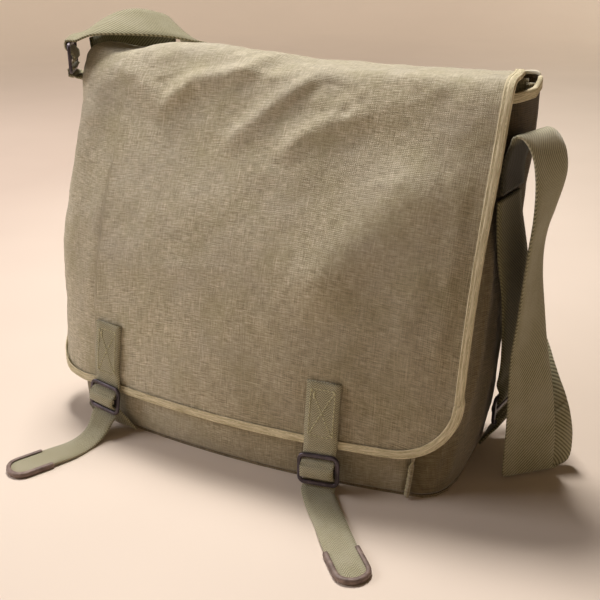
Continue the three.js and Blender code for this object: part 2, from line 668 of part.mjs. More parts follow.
// The short web that holds the slide: from the body's lower front edge round the middle bar.
function chapeRows(closing) {
  const frame = slideFrame(closing);
  const out = slideBar / 2 + webGap + closingThick / 2;
  const tall = slideFace / 2 + webGap + closingThick / 2;
  const rootX = closing.x + closing.foot;
  const root = V(rootX, frontLine(0) - frontBulge(rootX, 0), 3)
    .addScaledVector(frame.outward, bodyCloth / 2 + webGap + closingThick / 2 + 0.5);
  const rows = [{ middle: root, side: frame.flat }];
  const weave = [[-out - 2.8, -barDrop * 0.85], [-out, -tall * 0.4], [-out, tall * 0.6], [-out * 0.76, tall],
    [-out * 0.3, tall * 1.08], [out * 0.3, tall * 1.08], [out * 0.76, tall], [out, tall * 0.6], [out, -tall * 0.5]];
  for (const [a, b] of weave) rows.push({ middle: local(frame, a, b), side: frame.across });
  return rows;
}

// The leather that edges the rounded end of a tail.
function tipRows(rows, width) {
  const flat = rows.filter((row) => !row.round);
  const end = flat[flat.length - 1];
  const before = flat[flat.length - 2];
  const way = end.middle.clone().sub(before.middle).setZ(0).normalize();
  const side = V(-way.y, way.x, 0);
  const face = V(0, 0, 1);
  const point = (a, b) => end.middle.clone().addScaledVector(side, a).addScaledVector(way, b);
  const row = (cos, sin, back) => ({
    outer: point(cos * width / 2, sin * width * 0.42 - back),
    inner: point(cos * (width / 2 - tipDepth), sin * (width * 0.42 - tipDepth) - back),
    outerFace: face,
    innerFace: face,
  });
  const arc = steps(10).map((t) => row(Math.cos(Math.PI * t), Math.sin(Math.PI * t), 0));
  return [row(1, 0, tipLeg), ...arc, row(-1, 0, tipLeg)];
}

// The shoulder strap and what it passes through
const halfBag = bagWidth / 2;
const at = (out, back, up) => V(halfBag + out, back * baseDepth, up * bodyHeight);
const atLeft = (out, back, up) => V(-halfBag - out, back * baseDepth, up * bodyHeight);
// Each row has the web's middle (millimetres outside the right side, share of baseDepth, share
// of bodyHeight) and the direction from its front edge to its back edge. The rows of atLeft
// count their millimetres outside the left side.
const patch = (y, z, off) => onGusset(rightGusset, 1, y, z, bodyCloth / 2 + shoulderThick / 2 + off);
const strapTable = [
  { middle: patch(22, 221, 3.2), side: V(0.13, 0.99, 0) },
  { middle: patch(24, 240, 3.4), side: V(0.14, 0.99, 0) },
  { middle: at(9.4, 0.215, 0.878), side: V(0.20, 0.98, 0) },
  { middle: at(13.0, 0.212, 0.897), side: V(0.28, 0.95, 0) },
  { middle: at(19.0, 0.218, 0.895), side: V(0.30, 0.95, 0) },
  { middle: at(26.5, 0.225, 0.860), side: V(0.32, 0.95, 0) },
  { middle: at(30.5, 0.225, 0.800), side: V(0.30, 0.95, 0) },
  { middle: at(29.5, 0.205, 0.715), side: V(0.16, 0.98, 0) },
  { middle: at(27.0, 0.180, 0.640), side: V(0.07, 1.00, 0) },
  { middle: at(26.5, 0.170, 0.550), side: V(0.10, 0.99, 0) },
  { middle: at(28.5, 0.150, 0.450), side: V(0.24, 0.97, 0) },
  { middle: at(31.0, 0.120, 0.350), side: V(0.42, 0.91, 0) },
  { middle: at(35.5, 0.110, 0.240), side: V(0.58, 0.81, 0) },
  { middle: at(39.5, 0.085, 0.120), side: V(0.70, 0.71, 0) },
  { middle: at(40.5, 0.072, 0.040), side: V(0.73, 0.68, 0) },
  { middle: at(41.0, 0.085, 0.012), side: V(0.74, 0.67, 0) },
  { middle: at(44.0, 0.140, 0.006), side: V(0.74, 0.67, 0) },
  { middle: at(50.0, 0.198, 0.016), side: V(0.74, 0.67, 0.03) },
  { middle: at(51.0, 0.216, 0.069), side: V(0.72, 0.66, 0.20) },
  { middle: at(47.0, 0.240, 0.131), side: V(0.66, 0.60, 0.45) },
  { middle: at(39.0, 0.330, 0.193), side: V(0.42, 0.42, 0.80) },
  { middle: at(29.0, 0.496, 0.255), side: V(0.20, 0.30, 0.93) },
  { middle: at(18.0, 0.640, 0.285), side: V(0.08, 0.12, 0.99) },
  { middle: at(1.0, 0.745, 0.315), side: V(0.02, 0.03, 1.00) },
  { middle: at(-36.0, 0.740, 0.390), side: V(0.30, 0.02, 0.95) },
  { middle: at(-100.0, 0.730, 0.540), side: V(0.58, 0.02, 0.81) },
  { middle: atLeft(-160.0, 0.740, 0.740), side: V(0.66, 0.00, 0.75) },
  { middle: atLeft(-100.0, 0.765, 0.885), side: V(0.68, 0.00, 0.73) },
  { middle: atLeft(-70.0, 0.775, 0.950), side: V(0.70, -0.05, 0.71) },
  { middle: atLeft(-60.5, 0.730, 1.003), side: V(0.79, -0.42, 0.42) },
  { middle: atLeft(-51.5, 0.624, 1.072), side: V(0.79, -0.54, -0.30) },
  { middle: atLeft(-35.5, 0.528, 1.093), side: V(0.68, -0.62, -0.40) },
  { middle: atLeft(-15.0, 0.432, 1.099), side: V(0.45, -0.80, -0.39) },
  { middle: atLeft(8.0, 0.366, 1.089), side: V(0.26, -0.92, -0.28) },
  { middle: atLeft(24.0, 0.285, 1.058), side: V(0.45, -0.88, -0.08) },
];

// The strap's end, turned back under it and left standing behind the flap's hinge
const endTable = [
  { middle: atLeft(26.0, 0.420, 1.012), side: V(0.10, 0, -1) },
  { middle: atLeft(26.0, 0.600, 1.022), side: V(0.10, 0, -1) },
  { middle: atLeft(14.9, 0.740, 1.036), side: V(0.05, 0.05, -1) },
  { middle: atLeft(-8.0, 0.812, 1.040), side: V(0, 0.12, -1) },
  { middle: atLeft(-28.0, 0.822, 1.038), side: V(0, 0.12, -1) },
];

const anchorSide = V(0.16, 0.98, 0).normalize();
const anchorTable = [
  { middle: patch(19, 217, 2.4), side: V(0.13, 0.99, 0) },
  { middle: patch(20, 200, 3.4), side: V(0.18, 0.98, 0) },
  { middle: at(10.5, 0.170, 0.600), side: V(0.25, 0.97, 0) },
  { middle: at(14.5, 0.195, 0.510), side: V(0.24, 0.97, 0) },
  { middle: at(15.8, 0.250, 0.390), side: V(0.20, 0.98, 0) },
  { middle: at(14.5, 0.320, 0.290), side: V(0.16, 0.98, 0) },
  { middle: at(11.5, 0.385, 0.215), side: V(0.15, 0.98, 0) },
];

// Where each shoulder slide sits and how it is turned
const loopWide = shoulderWeb + 2 * (webGap + loopMargin) + 2 * slideFace;
const upperLoop = {
  middle: atLeft(27.5, 0.226, 1.006),
  across: V(0.55, -0.83, 0).normalize(),
  up: V(0, 0, 1),
};
upperLoop.face = upperLoop.across.clone().cross(upperLoop.up);
const lowerLoop = { middle: at(12, 0.400, 0.138), across: anchorSide, up: V(0, 0, 1) };
lowerLoop.face = lowerLoop.across.clone().cross(lowerLoop.up);

// A web that runs behind a loop's top bar, over its middle bar and ends behind its lower bar.
function threadRows(frame, sign) {
  const off = slideBar / 2 + webGap + shoulderThick / 2;
  const drop = loopTall / 2 - slideFace / 2;
  const weave = [[off, drop + 3], [off, drop * 0.7], [0, drop * 0.48], [-off, drop * 0.22], [-off, -drop * 0.22],
    [0, -drop * 0.45]];
  return weave.map(([out, up]) => ({ middle: local(frame, out * sign, up), side: frame.across }));
}

// A web loop round a loop's lower bar, with both ends sewn on the bag at foot.
function tabRows(frame, foot, sign) {
  const off = slideBar / 2 + webGap + shoulderThick / 2;
  const drop = loopTall / 2 - slideFace / 2;
  const tall = slideFace / 2 + webGap + shoulderThick / 2;
  const weave = [[-off, -drop + tall * 0.6], [-off * 0.5, -drop + tall], [off * 0.5, -drop + tall], [off, -drop + tall * 0.5],
    [off, -drop - tall]];
  const rows = weave.map(([out, up]) => ({ middle: local(frame, out * sign, up), side: frame.across }));
  return [...rows, ...foot];
}

// Materials and the finished pieces
const linen = { color: 0x9a8e74, roughness: 0.95, metalness: 0 };
const linenShade = { color: 0x867a5c, roughness: 0.95, metalness: 0 };
const cotton = { color: 0xc2b48c, roughness: 0.9, metalness: 0 };
const webbing = { color: 0x86866a, roughness: 0.9, metalness: 0 };
const leather = { color: 0x6b4c3c, roughness: 0.6, metalness: 0 };
const japanned = { color: 0x4a4248, roughness: 0.45, metalness: 0.6 };

const group = new THREE.Group();
group.name = 'haversack';
function piece(name, geometry, finish) {
  const mesh = new THREE.Mesh(geometry, new THREE.MeshStandardMaterial(finish));
  mesh.name = name;
  group.add(mesh);
}

piece('front_panel', clothSheet(frontPlace, frontColumns, wallRows, bodyCloth), linen);
piece('back_panel', clothSheet(backPlace, backColumns, wallRows, bodyCloth), linen);
piece('gusset_right', clothSheet(rightGusset, gussetColumns, wallRows, bodyCloth), linenShade);
piece('gusset_left', clothSheet(leftGusset, gussetColumns, wallRows, bodyCloth), linenShade);
piece('base_panel', baseGeometry(), linenShade);
piece('mouth_tape_right', edging(mouthTapeRows(rightGusset), tapeWall, bodyCloth), cotton);
piece('mouth_tape_left', edging(mouthTapeRows(leftGusset), tapeWall, bodyCloth), cotton);
piece('flap', clothSheet(flapPlace, flapColumns, flapRows, flapCloth), linen);
piece('flap_tape', edging(flapTapeRows(), tapeWall, flapCloth), cotton);
piece('corner_seam_right', cornerSeam(1), linenShade);
piece('corner_seam_left', cornerSeam(-1), linenShade);

for (const closing of closings) {
  const rows = closingRows(closing);
  piece(`closing_strap_${closing.name}`, webSolid(rows, closingWeb, closingThick), webbing);
  piece(`buckle_chape_${closing.name}`, webSolid(chapeRows(closing), closingWeb - 1, closingThick), webbing);
  const slide = slideGeometry(closingSlideWide, slideTall, slideBar, slideFace);
  piece(`closing_slide_${closing.name}`, framed(slide, slideFrame(closing)), japanned);
  piece(`strap_tip_${closing.name}`, edging(tipRows(rows, tailWeb), tipWall, closingThick), leather);
}

const shoulderRows = [...webRows(strapTable, 84), ...threadRows(upperLoop, 1)];
piece('shoulder_strap', webSolid(shoulderRows, shoulderWeb, shoulderThick), webbing);
piece('strap_end', webSolid(webRows(endTable, 16), endWeb, shoulderThick), webbing);
const anchorRows = [...webRows(anchorTable, 20), ...threadRows(lowerLoop, 1)];
piece('anchor_web', webSolid(anchorRows, shoulderWeb, shoulderThick), webbing);
piece('shoulder_slide', framed(slideGeometry(loopWide, loopTall, slideBar, slideFace), upperLoop), japanned);
piece('anchor_slide', framed(slideGeometry(loopWide, loopTall, slideBar, slideFace), lowerLoop), japanned);
const upperFoot = [
  { middle: atLeft(27, 0.450, 0.925), side: V(0.25, -0.97, 0), width: shoulderWeb * 0.72 },
  { middle: atLeft(18, 0.480, 0.872), side: V(0.05, -1, 0), width: shoulderWeb * 0.72 },
  { middle: onGusset(leftGusset, -1, 60, 240, 4), side: V(0.15, -0.99, 0), width: shoulderWeb * 0.72 },
];
piece('slide_tab', webSolid(tabRows(upperLoop, upperFoot, 1), shoulderWeb, shoulderThick), webbing);
const lowerFoot = [
  { middle: at(7.5, 0.350, 0.070), side: V(0.06, 1, 0), width: shoulderWeb * 0.85 },
  { middle: onGusset(rightGusset, 1, 38, 10, 3.6), side: V(0.04, 1, 0), width: shoulderWeb * 0.72 },
];
piece('anchor_tab', webSolid(tabRows(lowerLoop, lowerFoot, 1), shoulderWeb, shoulderThick), webbing);

export default group;
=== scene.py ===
# %% [markdown]
# # A linen haversack
# The bag is an old shoulder bag of coarse linen that stands on its base with the flap closed.
# Its CAD model gives every piece its place and its size. This script dresses that model: it makes
# smooth cloth, woven webs, rolled leather edges and stitches, and puts the bag in soft light.
# All sizes here are metres, because that is what Blender uses. MM turns millimetres into metres.

# %% Load the frame
import math
import random

import bmesh
import bpy
import numpy as np
from mathutils import Matrix, Vector, noise
from mathutils.kdtree import KDTree


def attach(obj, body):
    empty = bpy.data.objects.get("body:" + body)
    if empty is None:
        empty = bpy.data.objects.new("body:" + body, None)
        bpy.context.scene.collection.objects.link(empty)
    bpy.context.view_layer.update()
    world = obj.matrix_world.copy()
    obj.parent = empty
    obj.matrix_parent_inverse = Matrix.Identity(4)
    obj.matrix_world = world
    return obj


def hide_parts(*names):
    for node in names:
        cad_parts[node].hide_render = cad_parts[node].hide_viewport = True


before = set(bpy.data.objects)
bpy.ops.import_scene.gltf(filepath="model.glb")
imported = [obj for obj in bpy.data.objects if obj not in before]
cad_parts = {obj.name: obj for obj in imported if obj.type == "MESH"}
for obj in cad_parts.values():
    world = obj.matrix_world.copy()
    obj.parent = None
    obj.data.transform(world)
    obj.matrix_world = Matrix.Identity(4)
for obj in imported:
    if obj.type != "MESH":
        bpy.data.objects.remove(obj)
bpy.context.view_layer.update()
random.seed(7)
MM = 0.001

# %% [markdown]
# ## Camera
# The photograph was taken from a little above and from the right of the bag's front. A lens of
# 51 mm on a 36 mm sensor gives the same perspective as the photograph, so the camera stands where
# the photographer did. `to_track_quat` turns a direction of view into a rotation.

# %% The camera
VIEW_AZIMUTH = math.radians(25.463)
VIEW_ELEVATION = math.radians(22.669)
view_way = Vector((
    -math.sin(VIEW_AZIMUTH) * math.cos(VIEW_ELEVATION),
    math.cos(VIEW_AZIMUTH) * math.cos(VIEW_ELEVATION),
    -math.sin(VIEW_ELEVATION),
))
camera_data = bpy.data.cameras.new("camera")
camera_data.sensor_width = 36
camera_data.lens = 51
camera_data.clip_start = 0.01
camera = bpy.data.objects.new("camera", camera_data)
camera.location = (0.2957, -0.5665, 0.3788)
camera.rotation_euler = view_way.to_track_quat("-Z", "Y").to_euler()
bpy.context.scene.collection.objects.link(camera)
bpy.context.scene.camera = camera
print("camera", tuple(camera.location))

# %% [markdown]
# ## Nodes and colours
# A material is a small tree of nodes. Two helpers keep the trees readable: `linear` turns a hex
# colour as a painter picks it into the linear numbers that Blender counts with, and `add` puts one
# node into a tree, with its settings and its links.

# %% Helpers for materials
def linear(hex_colour):
    """The linear colour of an sRGB hex value such as "a09474"."""
    parts = [int(hex_colour[k:k + 2], 16) / 255 for k in (0, 2, 4)]
    return [c / 12.92 if c <= 0.04045 else ((c + 0.055) / 1.055) ** 2.4 for c in parts] + [1.0]


def add(tree, kind, settings=None, links=None):
    """A new node. Settings name its properties or its inputs, links name its inputs."""
    node = tree.nodes.new("ShaderNode" + kind)
    for key, value in (settings or {}).items():
        if isinstance(key, str) and hasattr(node, key):
            setattr(node, key, value)
        else:
            node.inputs[key].default_value = value
    for key, source in (links or {}).items():
        tree.links.new(source, node.inputs[key])
    return node


def finish_named(name):
    """A new material, its tree and its shader."""
    material = bpy.data.materials.new(name)
    material.use_nodes = True
    return material, material.node_tree, material.node_tree.nodes["Principled BSDF"]


def ramp(tree, source, *stops):
    """A colour ramp of (place, colour) stops, read by a source."""
    node = add(tree, "ValToRGB", {}, {"Fac": source})
    colours = node.color_ramp.elements
    while len(colours) < len(stops):
        colours.new(0.5)
    for element, (place, colour) in zip(colours, stops):
        element.position = place
        element.color = colour
    return node.outputs["Color"]


def grey(value):
    return (value, value, value, 1.0)


def streaks(tree, coordinates, scale, detail=3.0, rough=0.6, turn=0.0):
    """Noise that is stretched by three scales, in features per metre."""
    mapped = add(tree, "Mapping", {"Scale": scale, "Rotation": (0, 0, turn)}, {"Vector": coordinates})
    noise = add(tree, "TexNoise", {"Scale": 1.0, "Detail": detail, "Roughness": rough},
                {"Vector": mapped.outputs["Vector"]})
    return noise.outputs["Fac"]


def blended(tree, mode, amount, first, second):
    """Two colours mixed. Amount is a number or a socket."""
    node = add(tree, "Mix", {"data_type": "RGBA", "blend_type": mode})
    for key, value in (("Factor", amount), ("A", first), ("B", second)):
        socket = next(s for s in node.inputs if s.name == key and s.enabled)
        if isinstance(value, bpy.types.NodeSocket):
            tree.links.new(value, socket)
        else:
            socket.default_value = value
    return next(s for s in node.outputs if s.enabled)


def arithmetic(tree, operation, first, second=None):
    """One sum of a Math node on numbers or sockets."""
    node = add(tree, "Math", {"operation": operation})
    for k, value in enumerate((first, second)):
        if isinstance(value, bpy.types.NodeSocket):
            tree.links.new(value, node.inputs[k])
        elif value is not None:
            node.inputs[k].default_value = value
    return node.outputs["Value"]


print("helpers ready")

# %% [markdown]
# ## Linen
# The cloth is plain linen, woven from hand-like yarn that swells and thins. The eye sees short level
# streaks where a thick weft thread shows, fainter upright ones from the warp, and slow patches of
# grey and olive where it has faded. Noise that is stretched along each thread gives the streaks.
# Its coordinates are the cloth's own UV map, in metres, so the weave follows the cloth round a bend.
# The pale linen is painted darker towards its lower right, where the flap turns from the light, and the side walls'
# linen darker
# towards their top, under the flap: both are painted shade. The last argument says which way this painted shade grows,
# in shares of x and z, from where to where, and how strong it is.

# %% Linen
THREAD = 1.5 * MM   # real threads are 0.6 mm apart, too fine for the picture, so they are drawn coarser


def linen(name, dark, middle, light, fade, olive, painted_shade_ramp):
    """Washed linen. Rough and matt, with thread streaks, slubs, grey fading and olive patches, and a ramp of painted
    shade.
    """
    material, tree, shader = finish_named(name)
    weave = add(tree, "UVMap", {"uv_map": "weave"}).outputs["UV"]
    weft = streaks(tree, weave, (110, 1150, 1), 4)
    warp = streaks(tree, weave, (1000, 90, 1), 4)
    slub = streaks(tree, weave, (34, 620, 1), 2)
    patches = streaks(tree, weave, (13, 15, 1), 5, 0.62)
    speckle = streaks(tree, weave, (420, 420, 1), 2, 0.5)
    threads = arithmetic(tree, "ADD", arithmetic(tree, "MULTIPLY", weft, 0.62),
                         arithmetic(tree, "MULTIPLY", warp, 0.38))
    colour = ramp(tree, threads, (0.36, linear(dark)), (0.5, linear(middle)), (0.65, linear(light)))
    worn = ramp(tree, patches, (0.36, grey(0)), (0.66, grey(1)))
    colour = blended(tree, "MIX", arithmetic(tree, "MULTIPLY", worn, 0.45), colour, linear(fade))
    stain = ramp(tree, streaks(tree, weave, (30, 24, 1), 4, 0.6), (0.46, grey(0)), (0.68, grey(1)))
    colour = blended(tree, "MIX", arithmetic(tree, "MULTIPLY", stain, 0.42), colour, linear(olive))
    for yarn in (slub, streaks(tree, weave, (560, 26, 1), 2)):
        bright = ramp(tree, yarn, (0.66, grey(0)), (0.72, grey(1)))
        colour = blended(tree, "MIX", arithmetic(tree, "MULTIPLY", bright, 0.5), colour, linear(light))
    colour = blended(tree, "MULTIPLY", arithmetic(tree, "MULTIPLY", speckle, 0.35), colour, linear(dark))
    # Painted shade: the colour is multiplied towards a dark brown along a ramp in x and z.
    spot = add(tree, "SeparateXYZ", {}, {"Vector": add(tree, "TexCoord").outputs["Object"]})
    right, up, start, end, strength = painted_shade_ramp
    place = arithmetic(tree, "ADD", arithmetic(tree, "MULTIPLY", spot.outputs["X"], right),
                       arithmetic(tree, "MULTIPLY", spot.outputs["Z"], up))
    painted_shade_amount = add(tree, "MapRange", {"From Min": start, "From Max": end, "To Max": strength}, {"Value": place})
    colour = blended(tree, "MULTIPLY", painted_shade_amount.outputs["Result"], colour, linear("a3967a"))
    tree.links.new(colour, shader.inputs["Base Color"])
    over = add(tree, "TexWave", {"wave_type": "BANDS", "bands_direction": "X", "Scale": 0.314 / THREAD,
                                 "Distortion": 0.6}, {"Vector": weave}).outputs["Fac"]
    under = add(tree, "TexWave", {"wave_type": "BANDS", "bands_direction": "Y", "Scale": 0.314 / THREAD,
                                  "Distortion": 0.6}, {"Vector": weave}).outputs["Fac"]
    height = arithmetic(tree, "ADD", arithmetic(tree, "MULTIPLY", over, under), threads)
    bump = add(tree, "Bump", {"Strength": 0.5, "Distance": 0.5 * MM}, {"Height": height})
    tree.links.new(bump.outputs["Normal"], shader.inputs["Normal"])
    shader.inputs["Roughness"].default_value = 0.92
    shader.inputs["Specular IOR Level"].default_value = 0.2
    shader.inputs["Sheen Weight"].default_value = 0.25
    shader.inputs["Sheen Roughness"].default_value = 0.6
    return material


# The pale linen gets painted shade towards its lower right; the darker linen gets painted shade towards the top of the
# side walls.
washed_linen = linen("washed_linen", "8d8469", "c0b69a", "ebe2cb", "bbb4a6", "a79f7a",
                     (1, -1, -0.14, -0.01, 0.48))
# This darker copy of the same linen is painted shade, for the side walls, the base and the strip at the mouth's corner,
# which lie in shade.
shade_painted_linen = linen("shade_painted_linen", "53482f", "7b6c4e", "9c8e6e", "706446", "685c3b",
                     (0, 1, 0.16, 0.27, 1.0))
print("linen", washed_linen.name, shade_painted_linen.name)

# %% [markdown]
# ## Cotton webbing and tape
# The straps are herringbone webbing: narrow columns of slanted ribs that change direction from one
# column to the next. The flap's edging is a twilled tape with fine ribs along it. Both patterns are
# worked out from two numbers of the UV map, the distance across the web and the distance along it.

# %% Webbing, tape, thread
# Real ribs are 1.2 mm apart. They are drawn 1.9 to 2.9 mm apart, so that they show.
def clamped(tree, value):
    """The value, kept between 0 and 1."""
    held = arithmetic(tree, "MAXIMUM", value, 0.0)
    return arithmetic(tree, "MINIMUM", held, 1.0)


def herringbone(name, dark, light, dusty, column, rib_pitch, painted_shade_from=None, painted_light_from=None):
    """Cotton webbing. Matt, greenish, with slanted ribs that turn at each column.

    Past a given distance along it the web is darkened: this is painted shade, on the run of the strap that lies in
    shade.
    Where its height and half its place to the right pass a given level, it is lightened: this is painted light, on the
    top where the light falls.
    """
    material, tree, shader = finish_named(name)
    web = add(tree, "UVMap", {"uv_map": "weave"}).outputs["UV"]
    parts = add(tree, "SeparateXYZ", {}, {"Vector": web})
    across = arithmetic(tree, "ADD", parts.outputs["X"], column * 20.5)
    zigzag = arithmetic(tree, "PINGPONG", across, column)
    phase = arithmetic(tree, "MULTIPLY", arithmetic(tree, "ADD", parts.outputs["Y"], zigzag), math.tau / rib_pitch)
    rib = arithmetic(tree, "ADD", arithmetic(tree, "MULTIPLY", arithmetic(tree, "SINE", phase), 0.5), 0.5)
    yarn = streaks(tree, web, (900, 500, 1), 3)
    patches = streaks(tree, web, (28, 22, 1), 4)
    height = arithmetic(tree, "ADD", arithmetic(tree, "MULTIPLY", rib, 0.7), arithmetic(tree, "MULTIPLY", yarn, 0.6))
    colour = ramp(tree, height, (0.3, linear(dark)), (0.95, linear(light)))
    dust = ramp(tree, patches, (0.42, grey(0)), (0.7, grey(0.6)))
    colour = blended(tree, "MIX", dust, colour, linear(dusty))
    # Painted shade: past the given distance the colour is multiplied towards a dark olive.
    if painted_shade_from:
        painted_shade_share = add(tree, "MapRange", {"From Min": painted_shade_from, "From Max": painted_shade_from + 12 * MM, "To Max": 0.95},
                      {"Value": parts.outputs["Y"]})
        colour = blended(tree, "MULTIPLY", painted_shade_share.outputs["Result"], colour, linear("4a4636"))
    # Painted light: high up and to the right the colour is mixed towards a pale cream.
    if painted_light_from:
        place = add(tree, "SeparateXYZ", {}, {"Vector": add(tree, "TexCoord").outputs["Object"]})
        outward = arithmetic(tree, "ADD", place.outputs["Z"], arithmetic(tree, "MULTIPLY", place.outputs["X"], 0.5))
        painted_light_share = add(tree, "MapRange", {"From Min": painted_light_from, "From Max": painted_light_from + 22 * MM, "To Max": 0.85},
                       {"Value": outward}).outputs["Result"]
        if painted_shade_from:
            painted_light_share = arithmetic(tree, "SUBTRACT", painted_light_share, painted_shade_share.outputs["Result"])
        colour = blended(tree, "MIX", clamped(tree, painted_light_share), colour, linear("e6e0ca"))
    tree.links.new(colour, shader.inputs["Base Color"])
    bump = add(tree, "Bump", {"Strength": 0.5, "Distance": 0.5 * MM}, {"Height": height})
    tree.links.new(bump.outputs["Normal"], shader.inputs["Normal"])
    shader.inputs["Roughness"].default_value = 0.9
    shader.inputs["Specular IOR Level"].default_value = 0.2
    shader.inputs["Sheen Weight"].default_value = 0.2
    return material


def twill_tape(name, dark, light):
    """Cotton tape. Smoother and paler than the linen, with ribs along its length."""
    material, tree, shader = finish_named(name)
    web = add(tree, "UVMap", {"uv_map": "weave"}).outputs["UV"]
    ribs = streaks(tree, web, (1300, 70, 1), 3)
    patches = streaks(tree, web, (60, 26, 1), 4)
    colour = ramp(tree, ribs, (0.35, linear(dark)), (0.62, linear(light)))
    colour = blended(tree, "MULTIPLY", arithmetic(tree, "MULTIPLY", patches, 0.4), colour, linear(dark))
    tree.links.new(colour, shader.inputs["Base Color"])
    bump = add(tree, "Bump", {"Strength": 0.4, "Distance": 0.4 * MM}, {"Height": ribs})
    tree.links.new(bump.outputs["Normal"], shader.inputs["Normal"])
    shader.inputs["Roughness"].default_value = 0.82
    shader.inputs["Specular IOR Level"].default_value = 0.25
    return material


def plain_thread(name, colour):
    """Waxed linen thread. A slight gloss and a twist that shows as fine bands."""
    material, tree, shader = finish_named(name)
    place = add(tree, "TexCoord").outputs["Object"]
    tone = streaks(tree, place, (700, 700, 700), 2)
    shade = ramp(tree, tone, (0.3, [c * 0.7 for c in linear(colour)[:3]] + [1]), (0.7, linear(colour)))
    tree.links.new(shade, shader.inputs["Base Color"])
    shader.inputs["Roughness"].default_value = 0.6
    return material


green_webbing = herringbone("green_webbing", "706a52", "aea88c", "afa994", 4.3 * MM, 1.9 * MM)
# The shoulder strap gets painted shade past 920 mm along it and painted light near its top.
twill_webbing = herringbone("twill_webbing", "625e44", "aba586", "a59f89", 60 * MM, 2.9 * MM,
                             920 * MM, 350 * MM)
# Two darker copies of the webbing are painted shade: the first for the anchor web and tab, the second for the strap
# end, which lie in shade behind and under the strap.
shade_painted_webbing = herringbone("shade_painted_webbing", "4a4630", "837d5d", "6f6a4f", 60 * MM, 2.9 * MM)
deepest_shade_webbing = herringbone("deepest_shade_webbing", "35321f", "625e43", "545038", 60 * MM, 2.9 * MM)
cream_tape = twill_tape("cream_tape", "b5a988", "e9dfc2")
# A paler copy of the tape is painted light, for the rim at the mouth's right corner, so that it looks lit.
light_painted_tape = twill_tape("light_painted_tape", "dcd3b4", "fdf9e8")
pale_thread = plain_thread("pale_thread", "c9c29a")
olive_thread = plain_thread("olive_thread", "cdc79f")
print("webbing", green_webbing.name, cream_tape.name)

# %% [markdown]
# ## Japanned steel and leather
# The slides are steel bars with a baked black varnish that has gone purple-brown and rubbed thin on
# the outer edges. The strap ends are bound in thin brown leather, dark where fingers have held it.

# %% Metal and leather
def japanned_steel(name):
    """Varnished steel: a dark base under a soft clear gloss, paler where it is rubbed."""
    material, tree, shader = finish_named(name)
    place = add(tree, "TexCoord").outputs["Object"]
    tone = streaks(tree, place, (160, 160, 160), 5)
    pitting = streaks(tree, place, (900, 900, 900), 3)
    colour = ramp(tree, tone, (0.35, linear("362f35")), (0.55, linear("4d434b")), (0.75, linear("6d6068")))
    tree.links.new(colour, shader.inputs["Base Color"])
    rough = add(tree, "MapRange", {"To Min": 0.32, "To Max": 0.55}, {"Value": tone})
    tree.links.new(rough.outputs["Result"], shader.inputs["Roughness"])
    bump = add(tree, "Bump", {"Strength": 0.25, "Distance": 0.2 * MM}, {"Height": pitting})
    tree.links.new(bump.outputs["Normal"], shader.inputs["Normal"])
    shader.inputs["Metallic"].default_value = 0.55
    shader.inputs["Coat Weight"].default_value = 0.25
    shader.inputs["Coat Roughness"].default_value = 0.3
    return material


def binding_leather(name):
    """Thin vegetable-tanned leather: a pebbled grain, darker in patches."""
    material, tree, shader = finish_named(name)
    place = add(tree, "TexCoord").outputs["Object"]
    grain = add(tree, "TexVoronoi", {"Scale": 1100.0}, {"Vector": place}).outputs["Distance"]
    patches = streaks(tree, place, (120, 120, 120), 5)
    colour = ramp(tree, patches, (0.35, linear("55443c")), (0.52, linear("76625a")), (0.72, linear("98857a")))
    tree.links.new(colour, shader.inputs["Base Color"])
    bump = add(tree, "Bump", {"Strength": 0.4, "Distance": 0.25 * MM}, {"Height": grain})
    tree.links.new(bump.outputs["Normal"], shader.inputs["Normal"])
    shader.inputs["Roughness"].default_value = 0.55
    return material


black_japan = japanned_steel("black_japan")
brown_leather = binding_leather("brown_leather")
print("metal and leather", black_japan.name, brown_leather.name)

# %% [markdown]
# ## Light and floor
# A high light stands behind the bag and to its left: it brightens the crown and throws the shadow
# forward and to the right. The front has only the wide, low light from the left and what the floor
# sends back, so it darkens towards its lower right. Two area lights and a weak warm world make
# that. The floor is plain warm cream. It is a wide shallow bowl, spun from one bent line, that
# glows a little far from the bag, so that the background stays pale from every side.

# %% Light and floor
def area_light(name, place, aim, size, power, colour):
    data = bpy.data.lights.new(name, "AREA")
    data.size = size
    data.energy = power
    data.color = linear(colour)[:3]
    light = bpy.data.objects.new(name, data)
    light.location = place
    light.rotation_euler = (Vector(aim) - Vector(place)).to_track_quat("-Z", "Y").to_euler()
    bpy.context.scene.collection.objects.link(light)


area_light("skylight", (-0.50, 0.63, 1.95), (0, 0, 0.1), 0.45, 50, "fffaf4")
area_light("window", (-1.88, -0.89, 1.30), (-0.05, 0, 0.16), 1.2, 27.5, "fdfbff")

world = bpy.data.worlds.new("soft_room")
world.use_nodes = True
world.node_tree.nodes["Background"].inputs["Color"].default_value = linear("ffd9a6")
world.node_tree.nodes["Background"].inputs["Strength"].default_value = 0.08
bpy.context.scene.world = world
bpy.context.scene.view_settings.view_transform = "Standard"

# %% The studio floor
floor_material, floor_tree, floor_shader = finish_named("cream_paper")
floor_place = add(floor_tree, "TexCoord").outputs["Object"]
floor_tone = ramp(floor_tree, streaks(floor_tree, floor_place, (2, 2, 2), 3),
                  (0.3, linear("d5c6b8")), (0.7, linear("ddcec0")))
floor_x = add(floor_tree, "SeparateXYZ", {}, {"Vector": floor_place}).outputs["X"]
